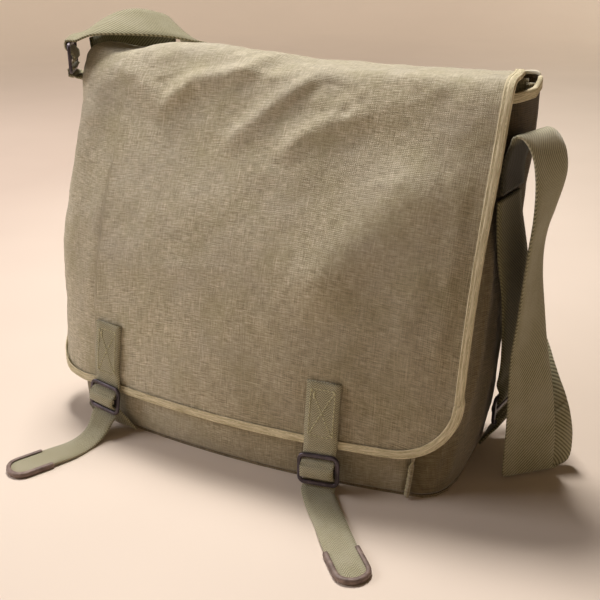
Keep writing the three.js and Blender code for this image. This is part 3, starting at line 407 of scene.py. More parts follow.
# Painted shade: the floor is darkened towards the window light on the left, to dim the pool of light there.
painted_shade_near_window = add(floor_tree, "MapRange", {"From Min": -0.15, "From Max": -0.75}, {"Value": floor_x}).outputs["Result"]
floor_tone = blended(floor_tree, "MULTIPLY", painted_shade_near_window, floor_tone, linear("e8e2e1"))
floor_tree.links.new(floor_tone, floor_shader.inputs["Base Color"])
floor_shader.inputs["Roughness"].default_value = 0.7
reach = add(floor_tree, "VectorMath", {"operation": "LENGTH"}, {0: floor_place}).outputs["Value"]
glow = add(floor_tree, "MapRange", {"From Min": 0.9, "From Max": 3.4, "To Max": 0.42}, {"Value": reach})
floor_tree.links.new(glow.outputs["Result"], floor_shader.inputs["Emission Strength"])
floor_shader.inputs["Emission Color"].default_value = linear("f3dcc0")

bm = bmesh.new()
profile = [bm.verts.new((x, 0, z)) for x, z in ((0, 0), (1.2, 0), (2.6, 0), (3.1, 0.04), (3.4, 0.2), (3.5, 0.9))]
edges = [bm.edges.new(pair) for pair in zip(profile, profile[1:])]
bmesh.ops.spin(bm, geom=profile + edges, cent=(0, 0, 0), axis=(0, 0, 1), angle=math.tau, steps=64, use_merge=True)
bmesh.ops.remove_doubles(bm, verts=bm.verts, dist=1e-4)
bmesh.ops.recalc_face_normals(bm, faces=bm.faces)
if sum(f.normal.z * f.calc_area() for f in bm.faces) < 0:
    bmesh.ops.reverse_faces(bm, faces=bm.faces)
floor_mesh = bpy.data.meshes.new("floor")
bm.to_mesh(floor_mesh)
bm.free()
floor_mesh.polygons.foreach_set("use_smooth", [True] * len(floor_mesh.polygons))
floor = bpy.data.objects.new("floor", floor_mesh)
floor.data.materials.append(floor_material)
bpy.context.scene.collection.objects.link(floor)
print("lights and floor ready")

# %% [markdown]
# ## From a CAD solid to soft cloth
# The CAD model holds each piece of cloth as a closed sheet of a few hundred faces. To make it soft,
# one face of the sheet is kept, its triangles are joined back into the grid of squares they came
# from, and a Subdivision Surface rounds it. Then folds can be pushed into it, and Solidify gives the
# cloth its thickness again. Joining the right pairs matters: in a regular grid the two other sides
# of a triangle swap places across each edge, so the diagonals can be followed from one triangle on.

# %% Keep one face of a sheet as a grid
HEART = Vector((0, 0.01, 0.14))   # a point inside the bag, to tell outside from inside


def shared_across(face, other, edge):
    """The edges of the next triangle, each with the edge of this one that it mirrors."""
    p, q = edge.verts
    at_p = next(e for e in face.edges if e != edge and p in e.verts)
    at_q = next(e for e in face.edges if e != edge and q in e.verts)
    return [(e, at_p if q in e.verts else at_q) for e in other.edges if e != edge]


def outer_grid(node):
    """The outward face of a CAD sheet as a bmesh of squares."""
    bm = bmesh.new()
    bm.from_mesh(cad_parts[node].data)
    bmesh.ops.remove_doubles(bm, verts=bm.verts, dist=1e-6)
    bm.normal_update()
    outward = lambda f: f.normal.dot((f.calc_center_median() - HEART).normalized()) * f.calc_area()
    seed = max(bm.faces, key=outward)
    side, queue = {seed}, [seed]
    while queue:
        face = queue.pop()
        for edge in face.edges:
            for other in edge.link_faces:
                if other not in side and edge.calc_face_angle(0) < math.radians(50):
                    side.add(other)
                    queue.append(other)
    bmesh.ops.delete(bm, geom=[f for f in bm.faces if f not in side], context="FACES")
    lengths = lambda f: sorted((e.calc_length() for e in f.edges), reverse=True)
    seed = max(bm.faces, key=lambda f: lengths(f)[0] / lengths(f)[1])
    kind = {edge: k for k, edge in enumerate(sorted(seed.edges, key=lambda e: -e.calc_length()))}
    seen, queue = {seed}, [seed]
    while queue:
        face = queue.pop()
        for edge in face.edges:
            for other in edge.link_faces:
                if other not in seen:
                    for mirrored, source in shared_across(face, other, edge):
                        kind.setdefault(mirrored, kind[source])
                    seen.add(other)
                    queue.append(other)
    diagonals = [edge for edge, k in kind.items() if k == 0 and len(edge.link_faces) == 2]
    bmesh.ops.dissolve_edges(bm, edges=diagonals, use_verts=False)
    print(node, "grid of", len(bm.faces), "squares,", sum(len(f.verts) == 4 for f in bm.faces), "with four corners")
    return bm


# %% Objects, modifiers and finishes
def new_object(name, bm):
    """An object from a bmesh, smooth-shaded and linked to the scene."""
    mesh = bpy.data.meshes.new(name)
    bm.to_mesh(mesh)
    bm.free()
    obj = bpy.data.objects.new(name, mesh)
    bpy.context.scene.collection.objects.link(obj)
    mesh.polygons.foreach_set("use_smooth", [True] * len(mesh.polygons))
    return obj


def applied(obj, kind, **settings):
    """Adds one modifier to an object and keeps its result as the mesh."""
    modifier = obj.modifiers.new(kind.lower(), kind)
    for key, value in settings.items():
        setattr(modifier, key, value)
    result = bpy.data.meshes.new_from_object(obj.evaluated_get(bpy.context.evaluated_depsgraph_get()))
    obj.modifiers.clear()
    obj.data = result
    return obj


def dressed(obj, material, slot, *nodes):
    """Gives a piece its finish and its body, and hides the CAD nodes that it stands for. Its slot is not used."""
    obj.data.materials.clear()
    obj.data.materials.append(material)
    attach(obj, "root")
    if nodes:
        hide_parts(*nodes)
    return obj


print("cloth helpers ready")

# %% [markdown]
# ## Folds
# A fold is a soft ridge along a bent line on the cloth, so each is written as a short list of points
# in millimetres with a width and a height. Every vertex moves out along its normal by the sum of
# what the ridges near it ask. Near the sheet's rim the folds fade out, because the seam holds it.

# %% Folds on a sheet
def vertex_array(mesh, what="co"):
    values = np.empty(len(mesh.vertices) * 3)
    mesh.vertices.foreach_get(what, values)
    return values.reshape(-1, 3)


def ridge(points, line, width):
    """How much of a ridge along a line of points each of the points feels, from 0 to 1."""
    line = np.array(line, float) * MM
    steps = np.linalg.norm(np.diff(line, axis=0), axis=1)
    whole, done = steps.sum(), 0.0
    best = np.full(len(points), 1e9)
    along = np.zeros(len(points))
    for start, end, step in zip(line[:-1], line[1:], steps):
        t = np.clip(((points - start) @ (end - start)) / step ** 2, 0, 1)
        far = np.linalg.norm(points - start - t[:, None] * (end - start), axis=1)
        nearer = far < best
        best = np.where(nearer, far, best)
        along = np.where(nearer, (done + t * step) / whole, along)
        done += step
    ends = np.clip(np.sin(np.pi * np.clip(along, 0.02, 0.98)) * 1.6, 0, 1)
    return np.exp(-(best / (width * MM)) ** 2) * ends


def rim_distance(obj):
    """How far each vertex is from the sheet's open rim."""
    mesh = obj.data
    uses = {}
    for polygon in mesh.polygons:
        for key in polygon.edge_keys:
            uses[key] = uses.get(key, 0) + 1
    rim = sorted({v for key, count in uses.items() if count == 1 for v in key})
    tree = KDTree(len(rim))
    for k, v in enumerate(rim):
        tree.insert(mesh.vertices[v].co, k)
    tree.balance()
    return np.array([tree.find(v.co)[2] for v in mesh.vertices])


def set_weave(obj, place):
    """Writes the UV map of the weave. place turns an array of points into two columns."""
    mesh = obj.data
    layer = mesh.uv_layers.get("weave") or mesh.uv_layers.new(name="weave")
    corners = np.empty(len(mesh.loops), int)
    mesh.loops.foreach_get("vertex_index", corners)
    layer.data.foreach_set("uv", place(vertex_array(mesh))[corners].ravel())


def soft_sheet(name, node, levels, wall, folds, place, calm=14, inward=0.8, tuck=0.0, uneven=0.9):
    """The soft cloth of one CAD sheet, with folds, weave and thickness."""
    obj = new_object(name, outer_grid(node))
    applied(obj, "SUBSURF", levels=levels, render_levels=levels, boundary_smooth="PRESERVE_CORNERS")
    set_weave(obj, place)
    points, normals = vertex_array(obj.data), vertex_array(obj.data, "normal")
    rise = sum((ridge(points, line, width) * height for line, width, height in folds), np.zeros(len(points)))
    rise += uneven * np.array([noise.noise(Vector(p) * 38) + 0.5 * noise.noise(Vector(p) * 120) for p in points])
    near = rim_distance(obj)
    hold = np.clip(near / (calm * MM), 0, 1)
    rise = np.maximum(rise * hold ** 2 * (3 - 2 * hold), -inward)
    rise -= tuck * np.exp(-(near / (1.6 * MM)) ** 2)
    points += normals * (rise * MM)[:, None]
    obj.data.vertices.foreach_set("co", points.ravel())
    obj.data.update()
    applied(obj, "SOLIDIFY", thickness=wall * MM, offset=-1, use_rim=True)
    print(name, len(obj.data.polygons), "faces, folds up to", round(float(rise.max()), 1), "mm")
    return obj


# %% [markdown]
# ## The walls of the bag
# Front, sides, back and base are five pieces of linen sewn edge to edge. Each keeps its CAD shape.
# A slight tuck along the rim makes the furrow that a seam pulls into the cloth.

# %% The walls
wall_folds = {
    "front_panel": [
        ([(-120, -60, 12), (-82, -65, 13), (-30, -69, 12), (15, -69, 9)], 5, 1.0),
        ([(30, -69, 26), (70, -66, 14), (110, -60, 12)], 5, 1.2),
        ([(96, -62, 34), (112, -60, 20), (122, -58, 8)], 4, 1.4),
        ([(-100, -62, 32), (-112, -61, 14)], 5, 1.2),
    ],
    "gusset_right": [
        ([(174, 3, 205), (174, 3, 188), (174, 1, 143), (174, -7, 98), (173, -14, 76), (171, -22, 40)], 4.5, 3.0),
        ([(178, 24, 190), (181, 32, 140), (180, 26, 96), (178, 12, 60)], 6, 2.6),
        ([(177, 56, 200), (182, 60, 130), (181, 56, 60)], 6, 1.8),
        ([(152, -49, 44), (150, -50, 24), (149, -50, 4)], 2.4, 2.4),
        ([(160, -44, 50), (158, -46, 26), (156, -47, 8)], 3.2, 1.4),
        ([(170, -30, 44), (166, -36, 22), (163, -40, 8)], 4, 1.8),
    ],
    "gusset_left": [
        ([(-174, 3, 200), (-176, 2, 130), (-173, -14, 60)], 6, 2.6),
        ([(-178, 30, 190), (-181, 34, 120), (-179, 26, 50)], 7, 2.4),
        ([(-150, -50, 44), (-149, -51, 6)], 3, 1.4),
        ([(-166, -34, 50), (-162, -40, 10)], 4, 1.6),
    ],
    "back_panel": [
        ([(-120, 78, 230), (-60, 74, 170), (0, 70, 120)], 12, 2.2),
        ([(120, 76, 210), (60, 73, 150), (20, 70, 90)], 12, 2.0),
        ([(-140, 66, 40), (-60, 66, 52), (30, 66, 44), (120, 66, 50)], 9, 1.6),
        ([(-60, 76, 250), (0, 78, 262), (70, 76, 252)], 8, 1.4),
    ],
}
# The side walls take the darker linen copy, which is painted shade.
wall_finish = {"front_panel": (washed_linen, "linen"), "back_panel": (washed_linen, "linen"),
               "gusset_right": (shade_painted_linen, "linen_shade"), "gusset_left": (shade_painted_linen, "linen_shade")}
along_front = lambda p: p[:, [0, 2]]
along_side = lambda p: p[:, [1, 2]]
walls = {}
for node, (finish, slot) in wall_finish.items():
    weave_of = along_side if node.startswith("gusset") else along_front
    wall = soft_sheet("cloth_" + node, node, 2, 1.6, wall_folds[node], weave_of, tuck=0.8)
    walls[node] = dressed(wall, finish, slot, node)

# %% The base
bm = bmesh.new()
bm.from_mesh(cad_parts["base_panel"].data)
bmesh.ops.remove_doubles(bm, verts=bm.verts, dist=1e-6)
bmesh.ops.dissolve_limit(bm, angle_limit=math.radians(1), verts=bm.verts, edges=bm.edges)
flat_faces = [f for f in bm.faces if abs(f.normal.z) > 0.9]
bmesh.ops.inset_region(bm, faces=flat_faces, thickness=5 * MM, depth=-0.25 * MM)
bmesh.ops.triangulate(bm, faces=bm.faces)
base = new_object("cloth_base", bm)
base.data.polygons.foreach_set("use_smooth", [False] * len(base.data.polygons))
set_weave(base, lambda p: p[:, [0, 1]])
# The base takes the darker linen copy, which is painted shade.
dressed(base, shade_painted_linen, "linen_shade", "base_panel")
print("base", len(base.data.polygons), "faces")

# %% [markdown]
# ## The flap
# One piece of linen hangs from the back wall, over the crown, down the front and round the left
# side. Its folds follow the photograph: two light ridges run from the crown to the left, a dark
# hollow runs under them to the right, and a long shallow slope crosses the lower half.

# %% The flap
CROWN_BACK = 85 * MM
CROWN_TOP = 300 * MM
WRAP_START = -136.5 * MM

flap_folds = [
    ([(0, 52, 301), (-25, 22, 291), (-45, 17, 286), (-72, 13, 280), (-88, 6, 268), (-104, -4, 248)], 8, 4.2),
    ([(-47, 18, 287), (-20, 18, 287), (4, 17, 286), (20, 22, 291)], 6, 1.8),
    ([(48, 20, 290), (26, 16, 284), (4, 6, 270), (-18, -4, 252), (-38, -14, 232)], 8, 3.0),
    ([(84, 8, 266), (56, 4, 262), (30, -4, 250), (10, -16, 228)], 9, 3.2),
    ([(62, 13, 280), (35, 16, 284), (20, 5, 269), (4, -1, 257)], 6, -2.5),
    ([(56, 8, 268), (64, 6, 265)], 5, -1.6),
    ([(-150, 20, 290), (-125, 14, 281), (-108, 8, 270), (-96, -2, 250)], 9, 2.0),
    ([(-115, 30, 296), (-108, 22, 291), (-100, 12, 278)], 7, 1.4),
    ([(86, 28, 294), (112, 22, 291), (136, 16, 284)], 8, 1.6),
    ([(80, -17, 220), (98, -14, 222), (116, -12, 222)], 2.6, 0.9),
    ([(60, -19, 219), (30, -18, 222), (-5, -18, 224)], 3.0, 0.7),
    ([(-118, -48, 137), (-81, -50, 144), (-34, -51, 152), (4, -51, 154)], 3.6, 1.0),
    ([(40, -58, 128), (70, -45, 162), (101, -26, 197), (125, -15, 219), (146, -4, 240)], 26, 6.5),
    ([(152, 4, 256), (154, -18, 206), (155, -36, 160), (153, -50, 100)], 9, 1.8),
    ([(136, -30, 190), (132, -44, 140), (128, -56, 90)], 12, 1.4),
    ([(-141, -22, 200), (-141, -44, 140), (-140, -55, 89)], 10, 1.6),
    ([(-128, -60, 60), (-110, -64, 52), (-92, -66, 50)], 5, 1.0),
    ([(-168, 24, 296), (-172, 11, 263), (-176, 4, 235), (-178, -8, 200), (-177, -22, 165), (-176, -34, 130),
      (-174, -44, 95)], 20, 5.5),
    ([(-60, -68, 64), (-20, -72, 58), (30, -72, 60)], 9, 1.0),
    ([(20, -72, 92), (60, -70, 88), (112, -62, 96)], 12, 1.2),
]


def flap_weave(p):
    """Across is x, with the turn round the left side stretched out. Along runs over the crown."""
    front = np.interp(p[:, 2], front_heights, front_depths)
    wrapped = (p[:, 0] < WRAP_START) & (p[:, 1] < 0.06) & (p[:, 2] < 0.285)
    depth = np.where(wrapped, np.minimum(p[:, 1], front), p[:, 1])
    across = np.where(p[:, 0] < WRAP_START, WRAP_START + (p[:, 0] - WRAP_START) * 1.45, p[:, 0])
    return np.column_stack((across, 0.78 * (CROWN_TOP - p[:, 2]) + CROWN_BACK - depth))


flap_node = vertex_array(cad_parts["flap"].data)
middle_line = flap_node[(np.abs(flap_node[:, 0]) < 0.02) & (flap_node[:, 1] < 0.03)]
order = np.argsort(middle_line[:, 2])
front_heights, front_depths = middle_line[order, 2], middle_line[order, 1]
flap = soft_sheet("cloth_flap", "flap", 3, 1.5, flap_folds, flap_weave, calm=10)
dressed(flap, washed_linen, "linen", "flap")

# %% [markdown]
# ## Webs
# A strap's CAD solid is a row of four-cornered rings. Walking from one end to the other along the
# edges finds the rings again, and each gives the middle of the web, its width and its thickness.
# A finer web is then extruded along a smooth curve through them, with rounded selvages.

# %% The rings of a CAD strap
def flat_patch(seed):
    """The faces that go on from one face without a bend."""
    patch, queue = {seed}, [seed]
    while queue:
        face = queue.pop()
        for edge in face.edges:
            for other in edge.link_faces:
                if other not in patch and edge.calc_face_angle(0) < math.radians(25):
                    patch.add(other)
                    queue.append(other)
    return patch


def rings_of(node, count=4):
    """The rings of a CAD strap or edging from end to end, each in order round its section."""
    bm = bmesh.new()
    bm.from_mesh(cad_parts[node].data)
    bmesh.ops.remove_doubles(bm, verts=bm.verts, dist=1e-6)
    tips = {v for v in bm.verts if len(v.link_edges) < 6}
    patches = [flat_patch(face) for vert in tips for face in vert.link_faces]
    corners = lambda patch: {v for face in patch for v in face.verts}
    caps = [patch for patch in patches if len(corners(patch)) == count and len(patch) == count - 2]
    height = lambda patch: round(sum(v.co.z + 0.1 * v.co.x for v in corners(patch)), 4)
    cap = max(caps, key=lambda patch: (len(corners(patch) & tips), height(patch)))
    layer, seen, rings = corners(cap), set(corners(cap)), []
    while layer:
        turn = [min(layer, key=lambda v: v.co[:])]
        while len(turn) < count:
            ahead = [e.other_vert(turn[-1]) for e in turn[-1].link_edges if not all(len(layer & set(f.verts)) == 3
                                                                                     for f in e.link_faces)]
            ahead = [v for v in ahead if v in layer and v not in turn]
            if not ahead:
                break
            turn.append(ahead[0])
        if len(turn) == count:
            rings.append([v.co.copy() for v in turn])
        layer = {e.other_vert(v) for v in layer for e in v.link_edges} - seen
        seen |= layer
    bm.free()
    return rings


def web_frames(node):
    """Middle, half width and half thickness of a strap at each of its rings."""
    frames = []
    for ring in rings_of(node):
        first = ring[0]
        partner = min(ring[1:], key=lambda p: (p - first).length)
        others = [p for p in ring[1:] if p is not partner]
        half = ((first + partner) - (others[0] + others[1])) / 4
        thick = (first - partner) / 2
        if frames:
            half = half if half.dot(frames[-1][1]) > 0 else -half
            thick = thick if thick.dot(frames[-1][2]) > 0 else -thick
        frames.append((sum(ring, Vector()) / 4, half, thick))
    return frames


print("shoulder_strap has", len(rings_of("shoulder_strap")), "rings")

# %% A smooth web
def smooth_between(frames, spacing):
    """More frames on a smooth curve through the given ones, about a spacing apart."""
    result = []
    for k in range(len(frames) - 1):
        around = [frames[min(len(frames) - 1, max(0, k + n))] for n in (-1, 0, 1, 2)]
        parts = max(1, round((around[2][0] - around[1][0]).length / spacing))
        for n in range(parts):
            t = n / parts
            row = []
            for a, b, c, d in zip(*around):
                row.append(0.5 * (2 * b + (c - a) * t + (2 * a - 5 * b + 4 * c - d) * t * t
                                  + (3 * b - a - 3 * c + d) * t ** 3))
            result.append(tuple(row))
    return result + [frames[-1]]


def section_of_web(columns):
    """A rounded flat section: shares of the half width and of the half thickness."""
    top = [(0.97 * (1 - 2 * k / columns), 1.0) for k in range(columns + 1)]
    return top + [(-1.0, 0.35), (-1.0, -0.35)] + [(-a, -b) for a, b in top] + [(1.0, -0.35), (1.0, 0.35)]


def extruded(name, loops, distances, offsets):
    """A closed solid through loops of points, with the weave's UV from offset and distance."""
    bm = bmesh.new()
    weave = bm.loops.layers.uv.new("weave")
    ring = [bm.verts.new(p) for p in loops[0]]
    first = bm.faces.new(ring)
    place = {v: (offsets[k], distances[0]) for k, v in enumerate(ring)}
    edges = [bm.edges.get((ring[k], ring[(k + 1) % len(ring)])) for k in range(len(ring))]
    for points, distance in zip(loops[1:], distances[1:]):
        made = bmesh.ops.extrude_edge_only(bm, edges=edges)["geom"]
        fresh = {}
        new_edges = [e for e in made if isinstance(e, bmesh.types.BMEdge)]
        for k, vert in enumerate(ring):
            fresh[k] = next(e.other_vert(vert) for e in vert.link_edges
                            if e.other_vert(vert) not in place and e not in edges)
        for k, vert in fresh.items():
            vert.co = points[k]
            place[vert] = (offsets[k], distance)
        ring = [fresh[k] for k in range(len(ring))]
        edges = new_edges
    bm.faces.new(reversed(ring))
    bmesh.ops.recalc_face_normals(bm, faces=bm.faces)
    for face in bm.faces:
        for loop in face.loops:
            loop[weave].uv = place[loop.vert]
    return new_object(name, bm)


def soft_web(name, node, columns=6, spacing=3 * MM, doubled=0.0):
    """The soft web of one CAD strap. It is doubled, and so thicker, for a length from its start."""
    frames = smooth_between(web_frames(node), spacing)
    section = section_of_web(columns)
    distances = [0.0]
    for before, after in zip(frames, frames[1:]):
        distances.append(distances[-1] + (after[0] - before[0]).length)
    loops = []
    for (middle, half, thick), distance in zip(frames, distances):
        outside = thick if thick.dot(middle - HEART) > 0 else -thick
        extra = 0.7 * min(1, max(0, (doubled - distance) / (3 * MM))) if doubled else 0
        loops.append([middle + a * half + b * outside * (1 + extra) + outside * extra for a, b in section])
    width = frames[len(frames) // 2][1].length
    obj = extruded(name, loops, distances, [a * width for a, b in section])
    print(name, round(distances[-1] * 1000), "mm long,", round(width * 2000), "mm wide,",
          len(obj.data.polygons), "faces")
    return obj


# %% The straps
WEBS = ("shoulder_strap", "anchor_web", "slide_tab", "anchor_tab", "strap_end",
        "closing_strap_right", "closing_strap_left", "buckle_chape_right", "buckle_chape_left")
# The anchor web, anchor tab and strap end take the darker webbing copies, which are painted shade.
WEB_FINISH = {"shoulder_strap": twill_webbing, "slide_tab": twill_webbing, "anchor_web": shade_painted_webbing,
              "anchor_tab": shade_painted_webbing, "strap_end": deepest_shade_webbing}
SEWN_LENGTH = 45 * MM
for node in WEBS:
    doubled = SEWN_LENGTH if node.startswith("closing") else 0.0
    web = soft_web("web_" + node, node, doubled=doubled)
    dressed(web, WEB_FINISH.get(node, green_webbing), "webbing", node)

# %% [markdown]
# ## Folded tape and leather
# Tape is folded over a raw edge and sewn through. Its CAD solid is a row of eight-cornered rings,
# shaped like a U. The finer one keeps that U, rounds its fold and presses it down along the stitches.

# %% The rings of an edging
def edging_frames(node):
    """Inner and outer middle of an edging at each ring, each with half of its thickness there."""
    frames, before = [], None
    for ring in rings_of(node, 8):
        if before is None:
            side = [(ring[(k + 1) % 8] - ring[k]).length for k in range(8)]
            wall = min(range(4), key=lambda k: side[k] + side[k + 4])
            fold = max(((wall + 2) % 8, (wall + 6) % 8), key=lambda k: side[k])
            ring = [ring[(fold - 1 + k) % 8] for k in range(8)]
        else:
            turns = [[ring[(start + way * k) % 8] for k in range(8)] for start in range(8) for way in (1, -1)]
            ring = min(turns, key=lambda turn: sum((p - q).length for p, q in zip(turn, before)))
        before = ring
        frames.append(((ring[0] + ring[3]) / 2, (ring[0] - ring[3]) / 2,
                       (ring[1] + ring[2]) / 2, (ring[1] - ring[2]) / 2))
    return frames


# Half of a folded tape's section: shares of its depth and of its half thickness. It dips where the
# two rows of stitches pull it down.
TAPE_SECTION = [(0.0, 0.66), (0.0, 0.86), (0.07, 0.96), (0.16, 0.93), (0.24, 0.82), (0.32, 0.93), (0.5, 1.0),
                (0.66, 0.93), (0.74, 0.82), (0.82, 0.92), (0.90, 0.84), (0.96, 0.60)]
LEATHER_SECTION = [(0.0, 0.62), (0.0, 0.78), (0.1, 0.94), (0.35, 1.0), (0.7, 0.96), (0.88, 0.80), (0.97, 0.45)]


def folded_edging(name, node, half_section, spacing=4 * MM):
    """The soft edging of one CAD edging. Also returns its frames, for the stitches."""
    frames = smooth_between(edging_frames(node), spacing)
    section = half_section + [(1.0, 0.0)] + [(a, -b) for a, b in reversed(half_section)]
    section += [(0.86, -0.54), (0.89, 0.0), (0.86, 0.54)]
    loops, distances = [], [0.0]
    for inner, inner_half, outer, outer_half in frames:
        loops.append([inner.lerp(outer, a) + inner_half.lerp(outer_half, a) * b for a, b in section])
    for before, after in zip(frames, frames[1:]):
        distances.append(distances[-1] + (after[2] - before[2]).length)
    depth = (frames[0][2] - frames[0][0]).length
    obj = extruded(name, loops, distances, [a * depth for a, b in section])
    print(name, round(distances[-1] * 1000), "mm long,", len(obj.data.polygons), "faces")
    return obj, frames


# %% The tapes and the leather
edging_rows = {}
for node in ("flap_tape", "mouth_tape_right", "mouth_tape_left"):
    tape, edging_rows[node] = folded_edging("soft_" + node, node, TAPE_SECTION)
    dressed(tape, cream_tape, "cotton_tape", node)
for node in ("strap_tip_right", "strap_tip_left"):
    leather, edging_rows[node] = folded_edging("soft_" + node, node, LEATHER_SECTION, 2 * MM)
    dressed(leather, brown_leather, "tip_leather", node)

# %% [markdown]
# ## The mouth's right corner
# Behind the flap's upper right corner the back wall turns out to meet the side wall, and its edge is
# bound too. Both are small: an upright strip of cloth and a thin roll of tape on top of it.

# %% The mouth's right corner
rim_path = [Vector(p) * MM for p in ((181.5, 80, 288), (181.3, 81, 291.3), (178, 82, 293.2), (172.5, 83, 293), (166, 83.5, 291.8))]
rim_frames = smooth_between([(p, Vector((0, 0.95, 0.2)) * MM, Vector((0.2, -0.2, 1.5)) * MM) for p in rim_path], 2 * MM)
rim_section = [(math.cos(math.tau * k / 10), math.sin(math.tau * k / 10)) for k in range(10)]
rim_loops = [[c + a * half + b * thick for a, b in rim_section] for c, half, thick in rim_frames]
rim = extruded("soft_rim_right", rim_loops, [k * 2 * MM for k in range(len(rim_frames))], [a * MM for a, b in rim_section])
# The rim takes the paler tape copy, which is painted light.
dressed(rim, light_painted_tape, "cotton_tape")
lining_path = [Vector(p) * MM for p in ((181.5, 79.5, 286), (178, 81.8, 287), (172, 83.2, 287), (166, 83.8, 286.5))]
lining_frames = smooth_between([(p, Vector((0, 0.5, 5.4)) * MM, Vector((0.3, 0.6, 0)) * MM) for p in lining_path], 2 * MM)
lining_loops = [[c + a * half + b * thick for a, b in rim_section] for c, half, thick in lining_frames]
lining = extruded("soft_corner_lining", lining_loops, [k * 2 * MM for k in range(len(lining_frames))],
                  [a * 5 * MM for a, b in rim_section])
# The corner strip takes the darker linen copy, which is painted shade.
dressed(lining, shade_painted_linen, "linen_shade")
print("rim", len(rim.data.polygons), "faces, lining", len(lining.data.polygons), "faces")

# %% [markdown]
# ## Back seams
# The back wall and each side wall meet in a seam that is turned inside. What shows is a narrow roll
# of cloth, which follows the outer edge of the back wall from the floor up.

# %% Back seams
back_edge = [v.co.copy() for v in walls["back_panel"].data.vertices]
for side, sign in (("left", -1), ("right", 1)):
    seam_path = []
    for level in range(6, 287, 20):
        near = [c for c in back_edge if abs(c.z - level * MM) < 14 * MM]
        if near:
            outer = max(near, key=lambda c: sign * c.x)
            seam_path.append(Vector((outer.x + sign * 2 * MM, outer.y - 2 * MM, level * MM)))
    seam_frames = smooth_between([(p, Vector((3.2, 0, 0)) * MM, Vector((0, 2.8, 0)) * MM) for p in seam_path], 4 * MM)
    seam_loops = [[c + a * half + b * thick for a, b in rim_section] for c, half, thick in seam_frames]
    seam = extruded("soft_back_seam_" + side, seam_loops, [k * 4 * MM for k in range(len(seam_frames))],
                    [a * 3 * MM for a, b in rim_section])
    dressed(seam, washed_linen, "linen")
    print("back seam", side, [round(q * 1000) for q in seam_path[0]], [round(q * 1000) for q in seam_path[-1]])

# %% [markdown]
# ## Corner welts
# At each lower front corner the seam stands out as a rounded welt. It is a short web of its own in
# the CAD model, so the same rings serve, with an oval section in place of the flat one.

# %% The corner welts
welt_section = [(math.cos(math.tau * k / 14), 1.15 * math.sin(math.tau * k / 14)) for k in range(14)]
welt_rows = {}
for node in ("corner_seam_right", "corner_seam_left"):
    frames = smooth_between(web_frames(node), 3 * MM)
    welt_rows[node] = frames
    loops = [[c + a * half + b * thick for a, b in welt_section] for c, half, thick in frames]
    distances = [k * 3 * MM for k in range(len(frames))]
    welt = extruded("welt_" + node, loops, distances, [a * 4 * MM for a, b in welt_section])
    dressed(welt, washed_linen, "linen_shade", node)
print("welts", list(welt_rows))

# %% [markdown]
# ## Stitches
# A stitch is a short bead of thread that lies on the cloth and dives in at both ends. Each one is a
# small ball of a few faces, stretched along the seam and sunk to half its height. A row is a walk
# along a line of points that drops one stitch per step.

# %% Rows of stitches
def stitch_row(places, line, normals, length, gap, radius):
    """Adds the places of one seam's stitches, along a line of points that each have a normal."""
    steps = [(b - a).length for a, b in zip(line, line[1:])]
    whole, step = sum(steps), length + gap
    made = 0
    for n in range(int(whole / step)):
        at, k = n * step + step / 2, 0
        while k < len(steps) - 1 and at > steps[k]:
            at -= steps[k]
            k += 1
        t = at / steps[k] if steps[k] else 0
        way = (line[k + 1] - line[k]).normalized()
        normal = normals[k].lerp(normals[k + 1], t).normalized()
        side = normal.cross(way).normalized()
        turn = Matrix((side, way, side.cross(way))).transposed().to_4x4()
        size = Matrix.Diagonal((radius, length * 0.56, radius, 1))
        where = Matrix.Translation(line[k].lerp(line[k + 1], t))
        places.append(where @ turn @ size @ Matrix.Rotation(math.pi / 2, 4, "X"))
        made += 1
    return made


def thread_object(name, places, group=40):
    """One object of stitches. They are made in small groups, because a large bmesh is slow."""
    whole = bmesh.new()
    part = bpy.data.meshes.new("part")
    for start in range(0, len(places), group):
        bm = bmesh.new()
        for place in places[start:start + group]:
            bmesh.ops.create_uvsphere(bm, u_segments=6, v_segments=4, radius=1, matrix=place)
        bm.to_mesh(part)
        bm.free()
        whole.from_mesh(part)
    bpy.data.meshes.remove(part)
    return new_object(name, whole)


def outward_face(point, direction):
    return direction if direction.dot(point - HEART) > 0 else -direction


def edging_line(rows, share, lift):
    """A line of points along an edging, at a share of its depth, on its outer face."""
    line, normals = [], []
    for inner, inner_half, outer, outer_half in rows:
        half = outward_face(inner, inner_half.lerp(outer_half, share))
        line.append(inner.lerp(outer, share) + half * lift)
        normals.append(half.normalized())
    return line, normals


places = []
count = 0
for node in ("flap_tape", "mouth_tape_right", "mouth_tape_left"):
    for share in (0.24, 0.74):
        line, normals = edging_line(edging_rows[node], share, 0.84)
        count += stitch_row(places, line, normals, 2.6 * MM, 1.2 * MM, 0.32 * MM)
tape_stitches = dressed(thread_object("tape_stitches", places), pale_thread, "cotton_tape")
print("tape stitches", count)

# %% Stitches of the closing straps
STITCH_LIFT = 0.15 * MM


def strap_point(rows, distance, share):
    """A point on the outer face of a doubled strap, at a distance from its start."""
    done = 0.0
    for before, after in zip(rows, rows[1:]):
        step = (after[0] - before[0]).length
        if done + step >= distance:
            t = (distance - done) / step
            middle, half = before[0].lerp(after[0], t), before[1].lerp(after[1], t)
            thick = outward_face(middle, before[2])
            return middle + half * share + thick * 2.4 + thick.normalized() * STITCH_LIFT, thick.normalized()
        done += step
    return rows[-1][0], rows[-1][2]


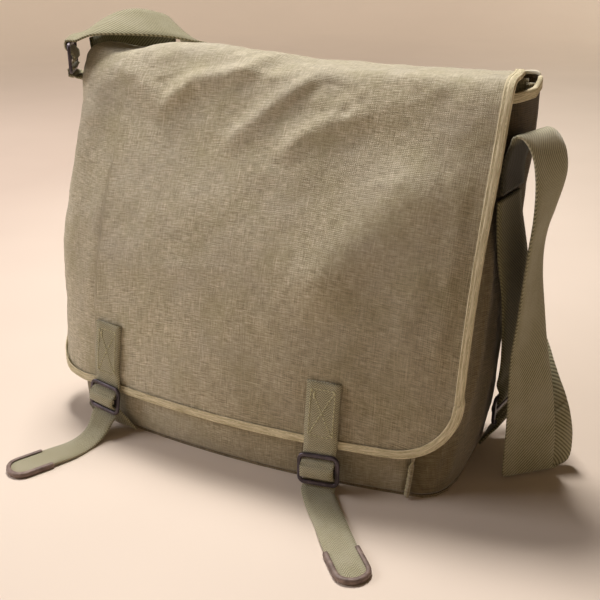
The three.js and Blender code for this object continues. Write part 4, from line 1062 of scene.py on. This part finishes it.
def seam_between(places, rows, start, end):
    """A straight seam on a strap between two places, each a distance and a share across."""
    spots = [strap_point(rows, start[0] + (end[0] - start[0]) * t, start[1] + (end[1] - start[1]) * t)
              for t in [k / 12 for k in range(13)]]
    return stitch_row(places, [p for p, n in spots], [n for p, n in spots], 2.4 * MM, 0.9 * MM, 0.45 * MM)


places = []
count = 0
for node in ("closing_strap_right", "closing_strap_left"):
    rows = web_frames(node)
    top, foot, edge = 5.5 * MM, 42 * MM, 0.72
    box = [(top, -edge), (top, edge), (foot, edge), (foot, -edge)]
    for k in range(4):
        count += seam_between(places, rows, box[k], box[(k + 1) % 4])
    count += seam_between(places, rows, box[0], box[2])
    count += seam_between(places, rows, box[1], box[3])
    loose = [strap_point(rows, distance, 0.5) for distance in (7 * MM, 14 * MM)]
    count += stitch_row(places, [p for p, n in loose], [n for p, n in loose], 6 * MM, 0.5 * MM, 0.6 * MM)
dressed(thread_object("strap_stitches", places), olive_thread, "webbing")
print("strap stitches", count)

# %% Stitches of the corner welts
places = []
count = 0
for node, rows in welt_rows.items():
    line, normals = [], []
    for middle, half, thick in rows:
        inward = thick if thick.x * middle.x < 0 else -thick
        line.append(middle - half * 0.1 + inward * 1.15)
        normals.append(inward.normalized())
    count += stitch_row(places, line, normals, 2.6 * MM, 0.5 * MM, 0.62 * MM)
dressed(thread_object("welt_stitches", places), pale_thread, "linen_shade")
print("welt stitches", count)

# %% [markdown]
# ## The slides
# The slides were pressed from bar, so no edge is sharp. Each copy of a CAD slide gets its flat faces
# joined again and its edges rounded with a small bevel.

# %% The slides
for node in ("closing_slide_right", "closing_slide_left", "shoulder_slide", "anchor_slide"):
    bm = bmesh.new()
    bm.from_mesh(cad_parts[node].data)
    bmesh.ops.remove_doubles(bm, verts=bm.verts, dist=1e-6)
    bmesh.ops.dissolve_limit(bm, angle_limit=math.radians(1), verts=bm.verts, edges=bm.edges)
    slide = new_object("rounded_" + node, bm)
    applied(slide, "BEVEL", width=0.45 * MM, segments=2, limit_method="ANGLE", angle_limit=math.radians(24))
    applied(slide, "WEIGHTED_NORMAL", keep_sharp=False)
    dressed(slide, black_japan, "japanned_metal", node)
    print(slide.name, len(slide.data.polygons), "faces")
